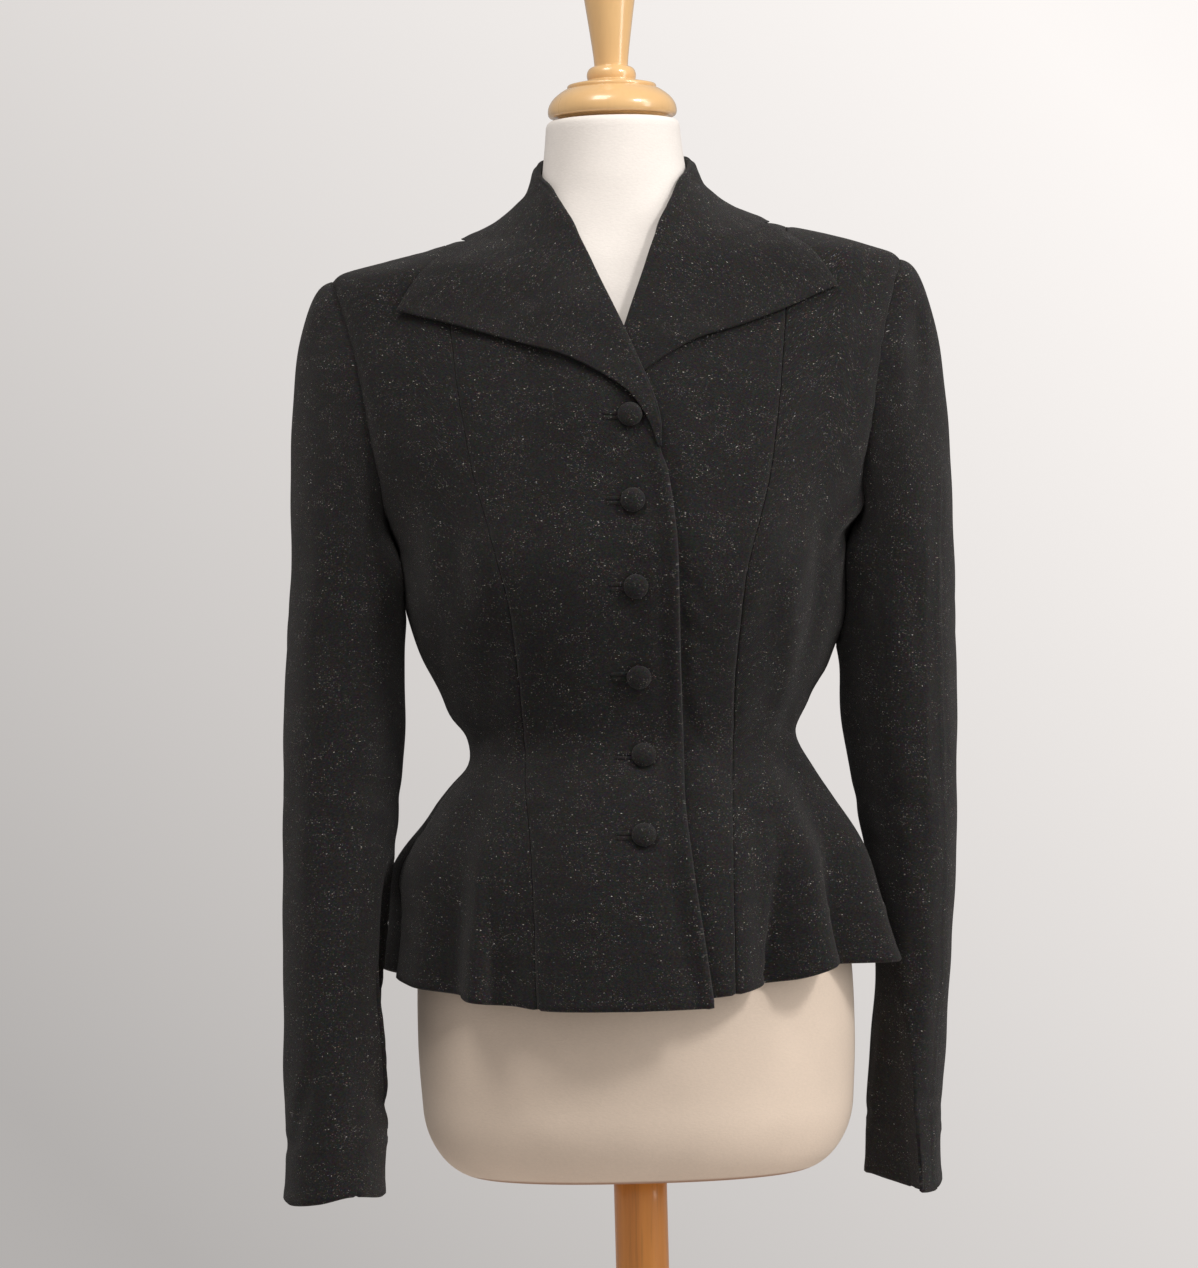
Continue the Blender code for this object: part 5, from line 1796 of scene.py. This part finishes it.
def wood(name, dark, pale, grain, pore, gloss, coat):
    """Varnished wood whose grain runs along Z."""
    made, tree, shader = new_material(name)
    place = add(tree, "ShaderNodeTexCoord").outputs["Object"]
    drift = noise(tree, scaled(tree, place, DRIFT_STRETCH), DRIFT_SCALE, output="Color")
    bent = scaled_and_moved(tree, drift, DRIFT, place)
    lines = scaled(tree, bent, (grain, grain, grain / GRAIN_LENGTH))
    lines = noise(tree, lines, detail=4.0, roughness=0.6)
    pores = scaled(tree, place, (grain * PORES_FINER, grain * PORES_FINER, grain / PORE_LENGTH))
    pores = noise(tree, pores, detail=1.0)
    colour = ramp(tree, lines, tuple(zip(NOISE_RANGE, (dark, pale))))
    colour = blended(tree, 1.0, colour, remap(tree, pores, *PORE_RANGE, pore, 1.0), "MULTIPLY")
    rough = remap(tree, lines, *NOISE_RANGE, gloss + GLOSS_CHANGE, gloss)
    link_surface(tree, shader, colour, rough, lines, strength=0.08, distance=0.0003)
    shader.inputs["Coat Weight"].default_value = coat
    shader.inputs["Coat Roughness"].default_value = 0.14
    return made


FLOOR_COLOURS = (
    (0.3, (0.66, 0.64, 0.62)),
    (0.7, (0.72, 0.70, 0.68)),
)
FLOOR_CLOUD_SCALE = 1.7
FLOOR_RADII = (0.01, 0.5, 2.0, 4.0)
FLOOR_SIDES = 64
FLOOR_GAP = 0.0005


def floor_finish():
    made, tree, shader = new_material("studio_floor")
    place = add(tree, "ShaderNodeTexCoord").outputs["Object"]
    cloudy = noise(tree, place, FLOOR_CLOUD_SCALE, detail=3.0)
    tree.links.new(ramp(tree, cloudy, FLOOR_COLOURS), shader.inputs["Base Color"])
    shader.inputs["Roughness"].default_value = 0.8
    return made


def add_floor():
    rings = lathe(np.array([(radius, -FLOOR_GAP) for radius in FLOOR_RADII]), FLOOR_SIDES)
    faces = tube_faces(len(FLOOR_RADII), FLOOR_SIDES)
    floor = mesh_piece("studio_floor", rings.reshape(-1, 3), faces, floor_finish())


# Rectangular lights that all aim at the middle of the jacket.
Light = namedtuple("Light", "name place size power colour")
LIGHTS = (
    Light("key", (1.66, -1.38, 2.74), (0.45, 0.45), 28.0, (1.0, 0.97, 0.94)),
    Light("window", (2.04, -0.95, 1.85), (0.5, 2.2), 19.0, (1.0, 0.98, 0.95)),
    Light("lamp", (-0.60, -1.12, 3.29), (0.9, 0.9), 27.0, (1.0, 0.96, 0.91)),
)
LIGHT_AIM = Vector((0.0, 0.0, 1.2))


def add_lights():
    for light in LIGHTS:
        data = bpy.data.lights.new(light.name, "AREA")
        data.shape = "RECTANGLE"
        data.size, data.size_y = light.size
        data.energy = light.power
        data.color = light.colour
        made = bpy.data.objects.new(light.name, data)
        made.location = light.place
        made.rotation_euler = (LIGHT_AIM - Vector(light.place)).to_track_quat("-Z", "Y").to_euler()
        bpy.context.scene.collection.objects.link(made)


# The pale backdrop that the camera sees: brightness straight ahead, its growth to the right and upwards,
# which is painted light as on a lit wall, and its limits.
BACKDROP = 0.728
BACKDROP_PAINTED_LIGHT_RIGHT = 1.20
BACKDROP_PAINTED_LIGHT_UP = 1.15
BACKDROP_LIMITS = (0.45, 0.99)
BACKDROP_TINT = (1.0, 0.960, 0.935)
AMBIENT = 0.41


def add_world():
    """A pale backdrop that brightens upwards and to the right with painted light, and a dimmer even light
    on the object.
    """
    world = bpy.data.worlds.new("studio")
    world.use_nodes = True
    tree = world.node_tree
    way = add(tree, "ShaderNodeTexCoord").outputs["Generated"]
    split = add(tree, "ShaderNodeSeparateXYZ", {0: way})
    # Painted light: the backdrop that the camera sees is brighter to the right and upwards, as a lit wall
    # would be.
    right = maths(tree, "MULTIPLY", split.outputs[0], BACKDROP_PAINTED_LIGHT_RIGHT)
    up = maths(tree, "MULTIPLY", split.outputs[2], BACKDROP_PAINTED_LIGHT_UP)
    level = maths(tree, "ADD", maths(tree, "ADD", right, up), BACKDROP)
    level = remap(tree, level, *BACKDROP_LIMITS, *BACKDROP_LIMITS)
    seen = add(tree, "ShaderNodeBackground", {"Color": (*BACKDROP_TINT, 1.0), "Strength": level})
    lit = add(tree, "ShaderNodeBackground", {"Color": (*BACKDROP_TINT, 1.0), "Strength": AMBIENT})
    camera_ray = add(tree, "ShaderNodeLightPath").outputs["Is Camera Ray"]
    both = add(tree, "ShaderNodeMixShader", {0: camera_ray, 1: lit.outputs[0], 2: seen.outputs[0]})
    tree.links.new(both.outputs[0], tree.nodes["World Output"].inputs["Surface"])
    bpy.context.scene.world = world


def add_camera():
    data = bpy.data.cameras.new("camera")
    data.sensor_fit = "HORIZONTAL"
    data.sensor_width = SENSOR
    data.lens = PIXELS_PER_METRE * CAMERA_DISTANCE * SENSOR / IMAGE[0]
    data.shift_x = -(AXIS_PIXEL - IMAGE[0] / 2) / IMAGE[0]
    camera = bpy.data.objects.new("camera", data)
    level = Matrix.Rotation(math.pi / 2, 4, "X")
    roll = Matrix.Rotation(math.radians(CAMERA_ROLL), 4, "Z")
    camera.matrix_world = Matrix.Translation((0.0, -CAMERA_DISTANCE, CAMERA_HEIGHT)) @ level @ roll
    bpy.context.scene.collection.objects.link(camera)
    bpy.context.scene.camera = camera
    bpy.context.scene.view_settings.view_transform = "Standard"


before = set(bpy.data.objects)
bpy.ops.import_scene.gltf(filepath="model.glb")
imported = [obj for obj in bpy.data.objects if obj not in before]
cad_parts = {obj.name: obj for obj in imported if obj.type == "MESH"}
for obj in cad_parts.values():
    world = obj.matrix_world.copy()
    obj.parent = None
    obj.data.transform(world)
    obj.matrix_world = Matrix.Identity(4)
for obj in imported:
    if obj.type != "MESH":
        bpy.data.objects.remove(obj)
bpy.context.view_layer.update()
TWEED = tweed()
JERSEY = jersey()
BLOND_WOOD = wood(
    "form_blond_wood",
    dark=(0.74, 0.455, 0.195),
    pale=(0.78, 0.50, 0.225),
    grain=40.0,
    pore=0.97,
    gloss=0.26,
    coat=0.80,
)
BROWN_WOOD = wood(
    "form_brown_wood",
    dark=(0.58, 0.205, 0.032),
    pale=(0.80, 0.325, 0.062),
    grain=70.0,
    pore=0.86,
    gloss=0.34,
    coat=0.35,
)
add_camera()
for made_group in (add_fronts, add_backs, add_sleeves, add_collar, add_buttons, add_buttonholes, add_form):
    for made_piece in made_group():
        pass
add_floor()
add_lights()
add_world()
